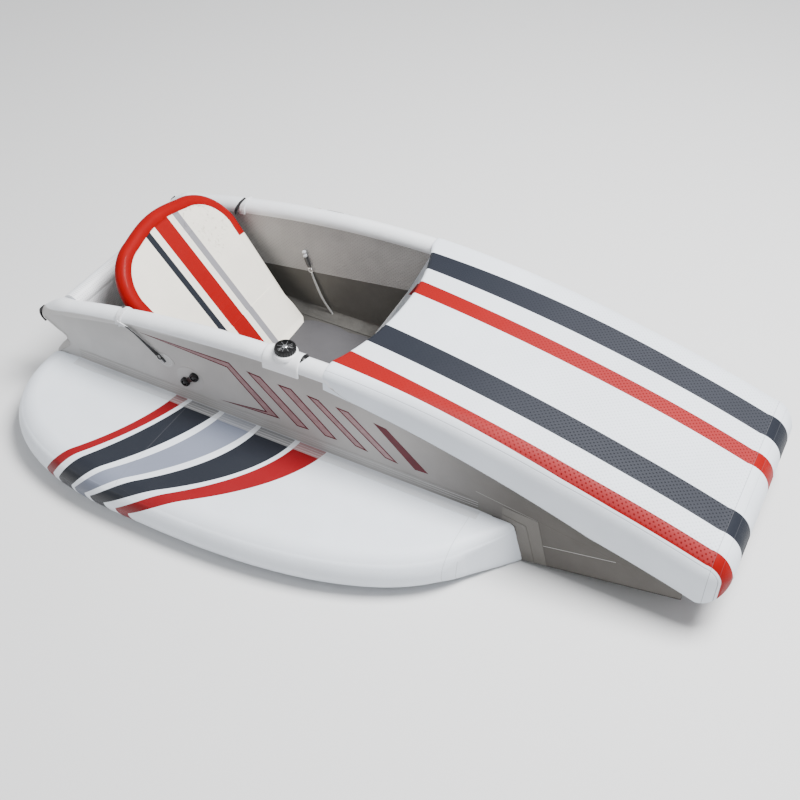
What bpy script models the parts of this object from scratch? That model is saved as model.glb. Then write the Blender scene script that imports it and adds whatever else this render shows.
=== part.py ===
"""Inflatable one-person mini jet boat, built from its separate drop-stitch panels.

Frame: +X toward the bow, +Y to port, +Z up. The origin is on the floor under the middle
of the boat's box. Every length is in metres.
"""
import math

import bmesh
import bpy
from mathutils import Matrix, Vector

# Driving dimensions
HALF_LENGTH = 1.14
HULL_HALF_WIDTH = 0.375
WALL_THICKNESS = 0.060
FLOOR_THICKNESS = 0.030
WING_THICKNESS = 0.140
WING_HALF_SPAN = 0.800
SEAT_THICKNESS = 0.050
SEAT_HALF_WIDTH = 0.288
SEAT_FOOT_HALF_WIDTH = 0.255
SEAT_LENGTH = 0.561
SEAT_LEAN = math.radians(40.0)
SEAT_CORNER_RADIUS = 0.174
SEAT_CROWN = 0.020
STRAP_WIDTH = 0.025
GAP = 0.0003

# Rim of the side walls: a long low arch
RIM_CREST = 0.460
RIM_CREST_X = -0.100
RIM_CURVE = 0.135

# Deck
DECK_HEIGHT = 0.465
DECK_FALL = 0.020
DECK_CURVE = 0.150
DECK_AFT_DEPTH = 0.070
DECK_DEPTH_GROWTH = 0.115
DECK_FULL_DEPTH = 0.165
DECK_SIDE_RADIUS = 0.080
DECK_AFT_CENTRE = -0.010
DECK_AFT_END = -0.070
DECK_AFT_SWEEP_POWER = 2.2
DECK_NOSE_RADIUS = 0.075
DECK_CORNER_RADIUS = 0.070
DECK_EDGE_RADIUS = 0.022

# Bottom
BOTTOM_RISE_START = 0.550
BOTTOM_SLOPE = 0.20
BOTTOM_FRONT = 1.030

# Cockpit and stern
TRANSOM_AFT = -1.060
TRANSOM_TOP = 0.352
MAT_THICKNESS = 0.006
MAT_AFT = -0.530
MAT_FRONT = 0.520
MAT_HALF_WIDTH = 0.290

# Seat hinge
HINGE_SKIN = 0.003
HINGE_GAP = 0.0005
HINGE_X = -0.587
HINGE_Z = FLOOR_THICKNESS + GAP + HINGE_SKIN + HINGE_GAP + SEAT_THICKNESS / 2

# Fittings
VALVE_X = -0.208
VALVE_RADIUS = 0.032
VALVE_HEIGHT = 0.016
SLEEVE_AFT = -0.292
SLEEVE_FRONT = -0.150
SLEEVE_SKIN = 0.004
CORD_RADIUS = 0.0035
LOOP_X = -0.800
LOOP_WIDTH = 0.026
STRAP_START = (-0.766, 0.355)
STRAP_END = (-0.668, 0.290)
ANCHOR_END = (-0.630, 0.266)
TAB_HEIGHT = 0.335
CLAMP_RUN = ((-0.578, 0.212), (-0.520, 0.262))
HANGER_RUN = ((-0.566, 0.286), (-0.534, 0.196))
CORD_TOP = (-0.532, 0.190)
CORD_FOOT = (-0.452, 0.036)

WALL_INNER = HULL_HALF_WIDTH - WALL_THICKNESS
RIM_STEPS = 8


def material(name, colour, roughness, metallic=0.0):
    """A Principled material with one colour."""
    found = bpy.data.materials.new(name)
    found.use_nodes = True
    shader = found.node_tree.nodes["Principled BSDF"]
    shader.inputs["Base Color"].default_value = (*colour, 1.0)
    shader.inputs["Roughness"].default_value = roughness
    shader.inputs["Metallic"].default_value = metallic
    return found


def finish_object(name, bm, finish, smooth_degrees=40.0):
    """Turn a bmesh into a linked object with outward faces."""
    bmesh.ops.recalc_face_normals(bm, faces=bm.faces)
    mesh = bpy.data.meshes.new(name)
    bm.to_mesh(mesh)
    bm.free()
    mesh.shade_smooth()
    mesh.set_sharp_from_angle(angle=math.radians(smooth_degrees))
    mesh.materials.append(finish)
    found = bpy.data.objects.new(name, mesh)
    bpy.context.collection.objects.link(found)
    return found


def skin_rings(rings, closed_ends=True):
    """Join equal rings of points into one closed skin."""
    bm = bmesh.new()
    loops = [[bm.verts.new(point) for point in ring] for ring in rings]
    for first, second in zip(loops, loops[1:]):
        count = len(first)
        for i in range(count):
            j = (i + 1) % count
            bm.faces.new((first[i], first[j], second[j], second[i]))
    if closed_ends:
        bm.faces.new(loops[0])
        bm.faces.new(loops[-1])
    return bm


def inset_outline(outline, insets):
    """Move each corner of a closed 2D outline inward by its own inset."""
    count = len(outline)
    area = sum(a.x * b.y - b.x * a.y for a, b in zip(outline, outline[1:] + outline[:1]))
    turn = 1.0 if area > 0 else -1.0
    moved = []
    for i, point in enumerate(outline):
        before = (point - outline[i - 1]).normalized()
        after = (outline[(i + 1) % count] - point).normalized()
        normal_before = Vector((-before.y, before.x)) * turn
        normal_after = Vector((-after.y, after.x)) * turn
        bisector = (normal_before + normal_after).normalized()
        reach = insets[i] / max(0.5, bisector.dot(normal_before))
        moved.append(point + bisector * reach)
    return moved


def board(outline, edge_radii, thickness, place, steps=6):
    """A flat drop-stitch board whose edge bulges out by its own radius at each corner.

    place turns a 2D point and a height across the board into a 3D point.
    """
    rings = []
    for step in range(steps + 1):
        angle = math.pi * (step / steps - 0.5)
        insets = [radius * (1.0 - math.cos(angle)) for radius in edge_radii]
        height = thickness / 2 * math.sin(angle)
        ring = inset_outline(outline, insets)
        rings.append([place(point, height) for point in ring])
    return skin_rings(rings)


def box(bm, low, high):
    """Add a box between two corners."""
    size = Vector(high) - Vector(low)
    centre = (Vector(high) + Vector(low)) / 2
    matrix = Matrix.Translation(centre) @ Matrix.Diagonal((*size, 1.0))
    bmesh.ops.create_cube(bm, size=1.0, matrix=matrix)


def cut_plane(bm, point, normal):
    """Cut away the side that the normal points to and close the cut."""
    geometry = bm.verts[:] + bm.edges[:] + bm.faces[:]
    bmesh.ops.bisect_plane(bm, geom=geometry, plane_co=point, plane_no=normal,
                           clear_outer=True, dist=1e-6)
    rim = [edge for edge in bm.edges if edge.is_boundary]
    bmesh.ops.contextual_create(bm, geom=rim)


def rim_height(x):
    """Top of the side wall's rounded rim."""
    return RIM_CREST - RIM_CURVE * (x - RIM_CREST_X) ** 2


def deck_top(x):
    """Top of the foredeck, which falls in a long curve to the bow."""
    return DECK_HEIGHT - DECK_FALL * x - DECK_CURVE * x * x


def deck_depth(x):
    """Depth of the foredeck board, which grows toward the bow."""
    return min(DECK_FULL_DEPTH, DECK_AFT_DEPTH + DECK_DEPTH_GROWTH * (x - DECK_AFT_END))


def deck_side_radius(x):
    """Radius of the foredeck's rounded side edge."""
    aft_radius = 0.030
    growth = 0.070
    return min(DECK_SIDE_RADIUS, aft_radius + growth * max(0.0, x - DECK_AFT_END))


def bottom_height(x):
    """Underside of the hull, flat and then rising to the bow."""
    return BOTTOM_SLOPE * max(0.0, x - BOTTOM_RISE_START)


def deck_underside(x):
    """Underside of the foredeck board where it rests on the side walls."""
    return deck_top(x) - deck_depth(x)


def deck_aft_edge(y):
    """The cockpit's curved front edge."""
    share = min(1.0, abs(y) / WALL_INNER)
    return DECK_AFT_CENTRE + (DECK_AFT_END - DECK_AFT_CENTRE) * share ** DECK_AFT_SWEEP_POWER


def spread(start, end, count):
    """Evenly spaced values with both ends."""
    return [start + (end - start) * i / (count - 1) for i in range(count)]


def deck_stations():
    """Places along the deck's side where its sections stand."""
    return spread(DECK_AFT_END + DECK_EDGE_RADIUS, HALF_LENGTH - DECK_NOSE_RADIUS, 22)


def deck_section(radius, half_width, depth, side_steps=6, flat_steps=12):
    """Half-width and depth below the top of each point round the deck's section."""
    flat = half_width - radius
    points = [(y, 0.0) for y in spread(-flat, flat, flat_steps)]
    for step in range(1, side_steps + 1):
        angle = math.pi / 2 * (1 - step / side_steps)
        points.append((flat + radius * math.cos(angle), radius * (1 - math.sin(angle))))
    lower = [(half_width, depth)] + [(y, depth) for y in spread(flat, -flat, flat_steps)]
    points += lower + [(-half_width, depth)]
    for step in range(side_steps, 0, -1):
        angle = math.pi / 2 * (1 - step / side_steps)
        points.append((-flat - radius * math.cos(angle), radius * (1 - math.sin(angle))))
    return points


def make_foredeck(finish):
    """The foredeck board with its curved cockpit edge and rounded nose."""
    nose_start = HALF_LENGTH - DECK_NOSE_RADIUS
    edge_steps = 3
    nose_steps = 7
    rings = []

    def ring(along, top_drop, bottom_lift, width_loss, nose_x=None):
        reference = DECK_AFT_END + (nose_start - DECK_AFT_END) * along
        radius = deck_side_radius(reference)
        section_depth = deck_depth(reference)
        squeeze = (HULL_HALF_WIDTH - width_loss) / HULL_HALF_WIDTH
        points = []
        for y, down in deck_section(radius, HULL_HALF_WIDTH, section_depth):
            x = deck_aft_edge(y) * (1 - along) + nose_start * along
            depth = deck_depth(x)
            drop = top_drop + (depth - top_drop - bottom_lift) * down / section_depth
            points.append((nose_x or x, y * squeeze, deck_top(x) - drop))
        rings.append(points)

    body_length = nose_start - DECK_AFT_END
    for step in range(edge_steps):
        angle = math.pi / 2 * step / edge_steps
        along = DECK_EDGE_RADIUS * (1 - math.cos(angle)) / body_length
        drop = DECK_EDGE_RADIUS * (1 - math.sin(angle))
        ring(along, drop, drop * 0.5, 0.0)
    for station in deck_stations():
        ring((station - DECK_AFT_END) / body_length, 0.0, 0.0, 0.0)
    for step in range(1, nose_steps + 1):
        angle = math.pi / 2 * step / nose_steps
        shrink = 1 - math.cos(min(angle, math.radians(84)))
        half_depth = deck_depth(nose_start) / 2
        x = nose_start + DECK_NOSE_RADIUS * math.sin(angle)
        ring(1.0, half_depth * shrink, half_depth * shrink, DECK_CORNER_RADIUS * shrink, x)
    return finish_object("foredeck", skin_rings(rings), finish, 35.0)


def wall_outline():
    """Side view of one side wall, as points with the edge radius at each."""
    round_edge = WALL_THICKNESS / 2
    points = [((-1.085, 0.0), 0.0), ((-1.112, 0.060), 0.010), ((-1.112, 0.125), round_edge),
              ((-1.085, 0.158), round_edge), ((-1.048, 0.186), round_edge),
              ((-1.052, 0.202), round_edge), ((-1.095, 0.226), round_edge)]
    tip_centre = Vector((-HALF_LENGTH + 0.028, 0.270))
    for step in range(5):
        angle = math.radians(250 - 125 * step / 4)
        points.append(((tip_centre.x + 0.028 * math.cos(angle),
                        tip_centre.y + 0.028 * math.sin(angle)), round_edge))
    points += [((-1.088, 0.324), round_edge), ((-1.052, 0.344), round_edge)]
    rim_end = DECK_AFT_END - GAP
    for x in spread(-1.010, rim_end, 16):
        points.append(((x, rim_height(x)), round_edge if x < rim_end else 0.0))
    points.append(((rim_end, deck_underside(DECK_AFT_END) - GAP), 0.0))
    stations = [x for x in deck_stations() if x < BOTTOM_FRONT - 0.01]
    for x in stations + [BOTTOM_FRONT]:
        points.append(((x, deck_underside(x) - GAP), 0.0))
    points.append(((BOTTOM_FRONT, bottom_height(BOTTOM_FRONT)), 0.0))
    points.append(((BOTTOM_RISE_START, 0.0), 0.0))
    return points


def make_side_wall(name, side, finish):
    """A side wall with its rounded rim, from the stern tip to the bow."""
    profile = wall_outline()
    outline = [Vector(point) for point, _ in profile]
    radii = [radius for _, radius in profile]
    middle = HULL_HALF_WIDTH - WALL_THICKNESS / 2

    def place(point, height):
        return (point.x, side * middle + height, point.y)

    return finish_object(name, board(outline, radii, WALL_THICKNESS, place, RIM_STEPS), finish)


def make_floor_panel(finish):
    """The bottom panel between the side walls, bent up toward the bow."""
    half = WALL_INNER - GAP
    rings = []
    taper_start = 0.900
    for x in [TRANSOM_AFT, -0.5, 0.0, 0.5, BOTTOM_RISE_START, 0.72, taper_start, BOTTOM_FRONT]:
        low = bottom_height(x)
        thin = max(0.0, (x - taper_start) / (BOTTOM_FRONT - taper_start))
        high = low + FLOOR_THICKNESS * (1 - 0.75 * thin)
        rings.append([(x, -half, low), (x, half, low), (x, half, high), (x, -half, high)])
    return finish_object("floor_panel", skin_rings(rings), finish)


def make_transom(finish):
    """The stern panel between the side walls."""
    half = WALL_INNER - GAP
    bottom = FLOOR_THICKNESS + GAP
    round_edge = WALL_THICKNESS / 2
    outline = [Vector((-half, bottom)), Vector((half, bottom))]
    outline += [Vector((half, TRANSOM_TOP)), Vector((-half, TRANSOM_TOP))]
    radii = [0.0, 0.0, round_edge, round_edge]
    middle = TRANSOM_AFT + WALL_THICKNESS / 2
    rings = []
    steps = 8
    for step in range(steps + 1):
        angle = math.pi * (step / steps - 0.5)
        x = middle + WALL_THICKNESS / 2 * math.sin(angle)
        ring = []
        for point, radius in zip(outline, radii):
            ring.append((x, point.x, point.y - radius * (1 - math.cos(angle))))
        rings.append(ring)
    return finish_object("transom", skin_rings(rings), finish)


def wing_outline():
    """Plan of the port wing, carried inside the wall, where it is cut off."""
    root = HULL_HALF_WIDTH - 0.005
    reach = WING_HALF_SPAN - root
    aft_centre, aft_length, aft_power = -0.500, 0.634, 2.5
    front_centre, front_length, front_power = -0.440, 0.940, 2.3
    front_cut = 0.903
    points = []
    aft_steps = 14
    for step in range(aft_steps + 1):
        angle = math.pi / 2 * step / aft_steps
        x = aft_centre - aft_length * math.cos(angle) ** (2 / aft_power)
        y = root + reach * math.sin(angle) ** (2 / aft_power)
        points.append((x, y))
    front_steps = 16
    for step in range(1, front_steps + 1):
        along = front_cut * math.sin(math.pi / 2 * step / front_steps)
        height = (1 - (along / front_length) ** front_power) ** (1 / front_power)
        points.append((front_centre + along, root + reach * height))
    face_end = (0.580, root)
    face_start = points[-1]
    run = 0.7
    beyond = (face_end[0] + run * (face_end[0] - face_start[0]),
              face_end[1] + run * (face_end[1] - face_start[1]))
    points += [face_end, beyond, (aft_centre - aft_length, beyond[1])]
    return [Vector(point) for point in points]


def make_wing(name, side, finish):
    """A side wing: a D-shaped board with a rounded outer edge, flat against the wall."""
    outline = wing_outline()
    radii = [WING_THICKNESS / 2] * len(outline)

    def place(point, height):
        return (point.x, side * point.y, height + WING_THICKNESS / 2)

    bm = board(outline, radii, WING_THICKNESS, place, steps=8)
    cut_plane(bm, (0, side * (HULL_HALF_WIDTH + GAP), 0), (0, -side, 0))
    return finish_object(name, bm, finish)


def seat_outline():
    """Front view of the seat back: Y across and height along the board from the hinge."""
    points = [(-SEAT_FOOT_HALF_WIDTH + 0.012, 0.0), (SEAT_FOOT_HALF_WIDTH - 0.012, 0.0),
              (SEAT_FOOT_HALF_WIDTH + 0.003, 0.050)]
    centre_y = SEAT_HALF_WIDTH - SEAT_CORNER_RADIUS
    centre_s = SEAT_LENGTH - SEAT_CROWN - SEAT_CORNER_RADIUS
    steps = 8
    right = []
    for step in range(steps + 1):
        angle = math.radians(82.0 * step / steps)
        right.append((centre_y + SEAT_CORNER_RADIUS * math.cos(angle),
                      centre_s + SEAT_CORNER_RADIUS * math.sin(angle)))
    points += right
    points.append((0.0, SEAT_LENGTH))
    points += [(-y, s) for y, s in reversed(right)]
    points.append((-SEAT_FOOT_HALF_WIDTH - 0.003, 0.050))
    return [Vector(point) for point in points]


def make_seat_back(pivot, finish):
    """The seat back board, leaning aft, with rounded edges all round."""
    outline = seat_outline()
    radii = [SEAT_THICKNESS / 2] * len(outline)
    for index in (0, 1):
        outline[index].y -= SEAT_THICKNESS / 2

    def place(point, height):
        return (height, point.x, point.y)

    found = finish_object("seat_back", board(outline, radii, SEAT_THICKNESS, place), finish)
    found.parent = pivot
    return found


def make_seat_hinge(finish):
    """The fabric sleeve on the floor in which the seat back's lower edge turns.

    Its front lip stays low, so that the board can fold down flat over it.
    """
    inner = SEAT_THICKNESS / 2 + HINGE_GAP
    outer = inner + HINGE_SKIN
    half = SEAT_FOOT_HALF_WIDTH - 0.020
    low = FLOOR_THICKNESS + GAP
    flange = 0.022
    steps = 10
    section = [(HINGE_X - outer - flange, low), (HINGE_X + outer + flange, low)]
    section += [(HINGE_X + outer + flange, low + HINGE_SKIN * 0.6)]
    start = math.radians(-80)
    end = SEAT_LEAN - math.radians(185.4)
    reach = outer + 0.004
    for step in range(steps + 1):
        angle = start + (end - start) * step / steps
        section.append((HINGE_X + inner * math.cos(angle), HINGE_Z + inner * math.sin(angle)))
    section.append((HINGE_X + reach * math.cos(end), HINGE_Z + reach * math.sin(end)))
    section.append((HINGE_X - outer - flange, low + HINGE_SKIN * 0.6))
    rings = [[(x, y, z) for x, z in section] for y in (-half, half)]
    return finish_object("seat_hinge_sleeve", skin_rings(rings), finish)


def make_floor_mat(finish):
    """The grey mat on the cockpit floor, running on under the deck."""
    low = FLOOR_THICKNESS + GAP
    bm = bmesh.new()
    box(bm, (MAT_AFT, -MAT_HALF_WIDTH, low), (MAT_FRONT, MAT_HALF_WIDTH, low + MAT_THICKNESS))
    return finish_object("floor_mat", bm, finish)


def rim_slope(x):
    """Rise of the rim for each metre forward."""
    return -2 * RIM_CURVE * (x - RIM_CREST_X)


def rim_band(x_start, x_end, side, skin, outer_drop, inner_drop):
    """A band that lies over the rim and down both faces of a side wall."""
    middle = HULL_HALF_WIDTH - WALL_THICKNESS / 2
    inner_radius = WALL_THICKNESS / 2 + GAP
    outer_radius = inner_radius + skin
    rings = []
    for x in spread(x_start, x_end, 5):
        tilt = math.sqrt(1 + rim_slope(x) ** 2)
        centre = rim_height(x) - tilt * WALL_THICKNESS / 2
        outer_side = [(outer_radius * math.cos(a), tilt * outer_radius * math.sin(a))
                      for a in spread(0.0, math.pi, RIM_STEPS + 1)]
        inner_side = [(inner_radius * math.cos(a), tilt * inner_radius * math.sin(a))
                      for a in spread(math.pi, 0.0, RIM_STEPS + 1)]
        ring = [(outer_radius, -outer_drop)] + outer_side
        ring += [(-outer_radius, -inner_drop), (-inner_radius, -inner_drop)]
        ring += inner_side + [(inner_radius, -outer_drop)]
        rings.append([(x, side * (middle + y), centre + z) for y, z in ring])
    return skin_rings(rings)


def make_valve(rubber, sleeve_finish):
    """The inflation valve on its sleeve over the starboard rim."""
    band = rim_band(SLEEVE_AFT, SLEEVE_FRONT, -1, SLEEVE_SKIN, 0.018, 0.010)
    finish_object("valve_sleeve", band, sleeve_finish)
    middle = -(HULL_HALF_WIDTH - WALL_THICKNESS / 2)
    slope = math.atan(rim_slope(VALVE_X))
    base = rim_height(VALVE_X) + SLEEVE_SKIN + 3 * GAP
    bm = bmesh.new()
    bmesh.ops.create_cone(bm, cap_ends=True, segments=40, radius1=VALVE_RADIUS,
                          radius2=VALVE_RADIUS, depth=VALVE_HEIGHT)
    rim_edges = [e for e in bm.edges if abs(e.verts[0].co.z - e.verts[1].co.z) < 1e-6]
    top_edges = [e for e in rim_edges if e.verts[0].co.z > 0]
    bmesh.ops.bevel(bm, geom=top_edges, offset=0.003, segments=2, affect="EDGES")
    valve = finish_object("valve", bm, rubber)
    valve.location = (VALVE_X, middle, base + VALVE_HEIGHT / 2)
    valve.rotation_euler = (0.0, -slope, 0.0)
    return valve


def tilted_plate(bm, start, end, width, low, high, side):
    """A flat strap between two points of the wall's face, in X and Z, low to high off it."""
    a = Vector(start)
    b = Vector(end)
    along = (b - a).normalized()
    across = Vector((-along.y, along.x)) * (width / 2)
    corners = [a - across, b - across, b + across, a + across]
    rings = [[(c.x, side * y, c.y) for c in corners] for y in (low, high)]
    loops = [[bm.verts.new(point) for point in ring] for ring in rings]
    for i in range(4):
        j = (i + 1) % 4
        bm.faces.new((loops[0][i], loops[0][j], loops[1][j], loops[1][i]))
    bm.faces.new(loops[0])
    bm.faces.new(loops[1])


def make_seat_strap(name, side, webbing, loop_finish):
    """The webbing on one wall: the loop over the rim and the strap down to its anchor."""
    face = HULL_HALF_WIDTH + GAP
    loop = rim_band(LOOP_X - LOOP_WIDTH / 2, LOOP_X + LOOP_WIDTH / 2, side, 0.002, 0.012, 0.012)
    finish_object("rim_loop_" + name, loop, loop_finish)
    bm = bmesh.new()
    tilted_plate(bm, STRAP_START, STRAP_END, STRAP_WIDTH, face, face + 0.002, side)
    finish_object("side_strap_" + name, bm, webbing)
    bm = bmesh.new()
    anchor_start = Vector(STRAP_END) + Vector((0.001, -0.001))
    tilted_plate(bm, anchor_start, ANCHOR_END, 0.044, face, face + 0.006, side)
    finish_object("strap_anchor_" + name, bm, loop_finish)


def make_seat_tab(name, side, pivot, webbing):
    """The webbing tab on the seat back's edge that reaches toward the rim loop."""
    half = STRAP_WIDTH / 2
    bm = bmesh.new()
    inner = SEAT_HALF_WIDTH - 0.035
    outer = WALL_INNER - 0.006
    back = -SEAT_THICKNESS / 2 - GAP
    low = (back - 0.002, min(side * inner, side * outer), TAB_HEIGHT - half)
    high = (back, max(side * inner, side * outer), TAB_HEIGHT + half)
    box(bm, low, high)
    tab = finish_object("seat_tab_" + name, bm, webbing)
    tab.parent = pivot
    return tab


def make_wall_fittings(name, side, rubber, webbing, cord_finish):
    """The clamp outside the wall, the hanger inside it and the cord down to the floor."""
    face = HULL_HALF_WIDTH + GAP
    bm = bmesh.new()
    tilted_plate(bm, *CLAMP_RUN, 0.020, face, face + 0.011, side)
    finish_object("cord_clamp_" + name, bm, rubber)
    inside = WALL_INNER - GAP
    bm = bmesh.new()
    tilted_plate(bm, *HANGER_RUN, 0.016, inside - 0.006, inside, side)
    finish_object("cord_hanger_" + name, bm, webbing)
    curve = bpy.data.curves.new("side_cord_" + name, "CURVE")
    curve.dimensions = "3D"
    curve.bevel_depth = CORD_RADIUS
    curve.bevel_resolution = 3
    curve.use_fill_caps = True
    spline = curve.splines.new("POLY")
    cord_y = side * (inside - CORD_RADIUS)
    start = Vector((CORD_TOP[0], cord_y, CORD_TOP[1]))
    end = Vector((CORD_FOOT[0], cord_y, CORD_FOOT[1]))
    count = 12
    spline.points.add(count - 1)
    for i, point in enumerate(spline.points):
        share = i / (count - 1)
        point.co = (*start.lerp(end, share), 1.0)
    curve.materials.append(cord_finish)
    cord = bpy.data.objects.new("side_cord_" + name, curve)
    bpy.context.collection.objects.link(cord)


def main():
    for found in list(bpy.data.objects):
        bpy.data.objects.remove(found, do_unlink=True)

    white = material("white_pvc", (0.74, 0.77, 0.81), 0.38)
    grey_white = material("pale_grey_pvc", (0.55, 0.56, 0.58), 0.50)
    cream = material("cream_pvc", (0.84, 0.80, 0.72), 0.45)
    grey = material("grey_mat", (0.20, 0.20, 0.21), 0.80)
    black = material("black_rubber", (0.012, 0.012, 0.013), 0.45)
    webbing = material("black_webbing", (0.020, 0.020, 0.022), 0.85)
    cord_grey = material("grey_cord", (0.45, 0.45, 0.44), 0.70)

    make_floor_panel(grey_white)
    make_foredeck(white)
    make_transom(white)
    make_floor_mat(grey)
    make_seat_hinge(grey)
    make_valve(black, white)

    pivot = bpy.data.objects.new("seat_pivot", None)
    pivot.location = (HINGE_X, 0.0, HINGE_Z)
    pivot.rotation_euler = (0.0, -SEAT_LEAN, 0.0)
    bpy.context.collection.objects.link(pivot)
    make_seat_back(pivot, cream)

    for name, side in (("starboard", -1), ("port", 1)):
        make_side_wall("side_wall_" + name, side, white)
        make_wing("wing_" + name, side, white)
        make_seat_strap(name, side, webbing, white)
        make_seat_tab(name, side, pivot, webbing)
        make_wall_fittings(name, side, black, webbing, cord_grey)


main()
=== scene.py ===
# Looks of the inflatable mini jet boat: every panel, stripe, seam, strap and fitting.
# Frame: +X toward the bow, +Y to port, +Z up, in metres, with the floor at Z = 0.
import math

import bmesh
import bpy
from mathutils import Matrix, Vector


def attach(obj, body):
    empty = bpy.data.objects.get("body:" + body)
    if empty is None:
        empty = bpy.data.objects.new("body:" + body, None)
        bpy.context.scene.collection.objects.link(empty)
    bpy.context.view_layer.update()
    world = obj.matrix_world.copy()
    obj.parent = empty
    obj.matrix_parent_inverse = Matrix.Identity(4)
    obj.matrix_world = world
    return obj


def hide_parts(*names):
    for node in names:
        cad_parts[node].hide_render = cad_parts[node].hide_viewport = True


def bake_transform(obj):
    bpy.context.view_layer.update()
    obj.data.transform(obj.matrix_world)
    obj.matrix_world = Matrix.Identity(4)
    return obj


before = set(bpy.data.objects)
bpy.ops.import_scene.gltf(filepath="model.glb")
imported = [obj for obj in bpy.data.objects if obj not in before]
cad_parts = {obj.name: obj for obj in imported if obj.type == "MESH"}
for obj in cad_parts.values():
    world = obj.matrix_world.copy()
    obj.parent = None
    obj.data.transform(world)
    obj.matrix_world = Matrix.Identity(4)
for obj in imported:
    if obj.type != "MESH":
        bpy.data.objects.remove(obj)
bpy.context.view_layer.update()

# Main sizes of the boat
HALF_LENGTH = 1.14
HULL_HALF_WIDTH = 0.375
WALL_THICKNESS = 0.060
WALL_MIDDLE = HULL_HALF_WIDTH - WALL_THICKNESS / 2
WALL_INNER = HULL_HALF_WIDTH - WALL_THICKNESS
FLOOR_THICKNESS = 0.030
WING_THICKNESS = 0.140
WING_HALF_SPAN = 0.800
RIM_CREST = 0.460
RIM_CREST_X = -0.100
RIM_CURVE = 0.135
RIM_RADIUS = 0.0306
PANEL_HALF = 0.0292
STERN_TIP_RADIUS = 0.030
STERN_TIP = Vector((-HALF_LENGTH + STERN_TIP_RADIUS, 0.271))

# Deck
DECK_TOP_HEIGHT = 0.465
DECK_TOP_SLOPE = 0.020
DECK_TOP_CURVE = 0.150
DECK_AFT_DEPTH = 0.070
DECK_DEPTH_GAIN = 0.115
DECK_FULL_DEPTH = 0.165
DECK_AFT_SIDE_RADIUS = 0.030
DECK_SIDE_RADIUS_GAIN = 0.070
DECK_FULL_SIDE_RADIUS = 0.080
DECK_AFT_CENTRE = -0.010
DECK_AFT_END = -0.070
DECK_AFT_SWEEP_POWER = 2.2
DECK_NOSE_RADIUS = 0.075
DECK_CORNER_RADIUS = 0.070
DECK_EDGE_RADIUS = 0.014
BOW_SEAM_X = 1.082
TAPE_STEP = 0.0006

# Bottom and stern
BOTTOM_RISE_START = 0.550
BOTTOM_SLOPE = 0.20
BOTTOM_FRONT = 1.030
TRANSOM_AFT = -1.060
TRANSOM_TOP = 0.352

# Seat
SEAT_THICKNESS = 0.050
SEAT_HALF_WIDTH = 0.288
SEAT_FOOT_HALF_WIDTH = 0.255
SEAT_LENGTH = 0.561
SEAT_CORNER_RADIUS = 0.174
SEAT_CROWN = 0.020
SEAT_LEAN = math.radians(40.0)
HINGE = Vector((-0.587, 0.0, 0.0588))
BAND_WIDTH = 0.042
BAND_END = 0.322
BAND_END_STARBOARD = 0.285

# Cockpit floor
FLOOR_TOP = 0.0303
MAT_TOP = 0.0363
MAT_AFT = -0.5295
MAT_FRONT = 0.520
MAT_HALF_WIDTH = 0.260

# Fittings
VALVE_X = -0.208
SLEEVE_AFT = -0.272
SLEEVE_FRONT = -0.150
SLEEVE_SKIN = 0.0045
LOOP_X = -0.800
LOOP_WIDTH = 0.024
WALL_FACE = WALL_MIDDLE + PANEL_HALF
INNER_FACE = WALL_MIDDLE - PANEL_HALF
PLATE_SINK = 0.0005
STRAP_POINTS = [(-0.768, 0.366), (-0.735, 0.347), (-0.700, 0.322), (-0.661, 0.294)]
LOOP_TAIL_POINTS = [(-0.798, 0.364), (-0.790, 0.3645), (-0.778, 0.364), (-0.764, 0.362)]
HOOK_CENTRE = (-0.655, 0.288)
HOOK_TONGUE_POINTS = [(-0.650, 0.285), (-0.643, 0.277), (-0.637, 0.271)]
ANCHOR_CENTRE = Vector((-0.638, 0.277))
ANCHOR_REACH = Vector((0.034, 0.026))
CLAMP_CENTRES = [Vector((-0.569, 0.220)), Vector((-0.532, 0.253))]
CLAMP_PATCH_REACH = Vector((0.050, 0.044))
HANGER_TOP = (-0.556, 0.274)
CORD_POINTS = [(-0.529, 0.190), (-0.512, 0.152), (-0.486, 0.096), (-0.452, 0.0365)]
CORD_STAND_OFF = [0.0040, 0.0080, 0.0100, 0.0040]
CORD_RADIUS = 0.0036

# Camera, solved from the photograph's own straight edges
CAMERA_PLACE = Vector((1.2357, -2.4000, 2.6095))
CAMERA_RIGHT = Vector((0.8861, 0.4634, 0.0))
CAMERA_UP = Vector((-0.3173, 0.6066, 0.7290))
CAMERA_LENS = 51.75

# Colours, linear
WHITE = (0.750, 0.792, 0.850)
RIM_WHITE = (0.820, 0.840, 0.870)
PANEL_GREY = (0.500, 0.490, 0.480)
# Colours that darken the outer wall toward the bow: the brown is partly the fabric's own tone and partly
# painted shade, and the bow grey is painted shade under the deck's overhang
PANEL_BROWN_AND_SHADE = (0.300, 0.274, 0.255)
BOW_SHADE_GREY = (0.074, 0.067, 0.059)
INNER_GREY = (0.430, 0.420, 0.415)
BAND_BROWN = (0.105, 0.101, 0.094)
RED = (0.255, 0.0022, 0.0024)
WING_RED = (0.225, 0.0022, 0.0060)
DARK = (0.0145, 0.0170, 0.0240)
PALE = (0.185, 0.205, 0.265)
CREAM = (0.860, 0.815, 0.720)
SEAT_GREY = (0.230, 0.225, 0.245)
MAT_GREY = (0.078, 0.076, 0.081)
# Whiter than the other white fabric: painted light on the stern board's face, which the seat shades
STERN_LIT_WHITE = (0.90, 0.91, 0.93)
GRAPHIC_LINE = (0.085, 0.004, 0.010)
GRAPHIC_FILL = (0.300, 0.185, 0.190)
BLACK = (0.0030, 0.0030, 0.0034)
TAPE_GREY = (0.500, 0.500, 0.505)

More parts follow.
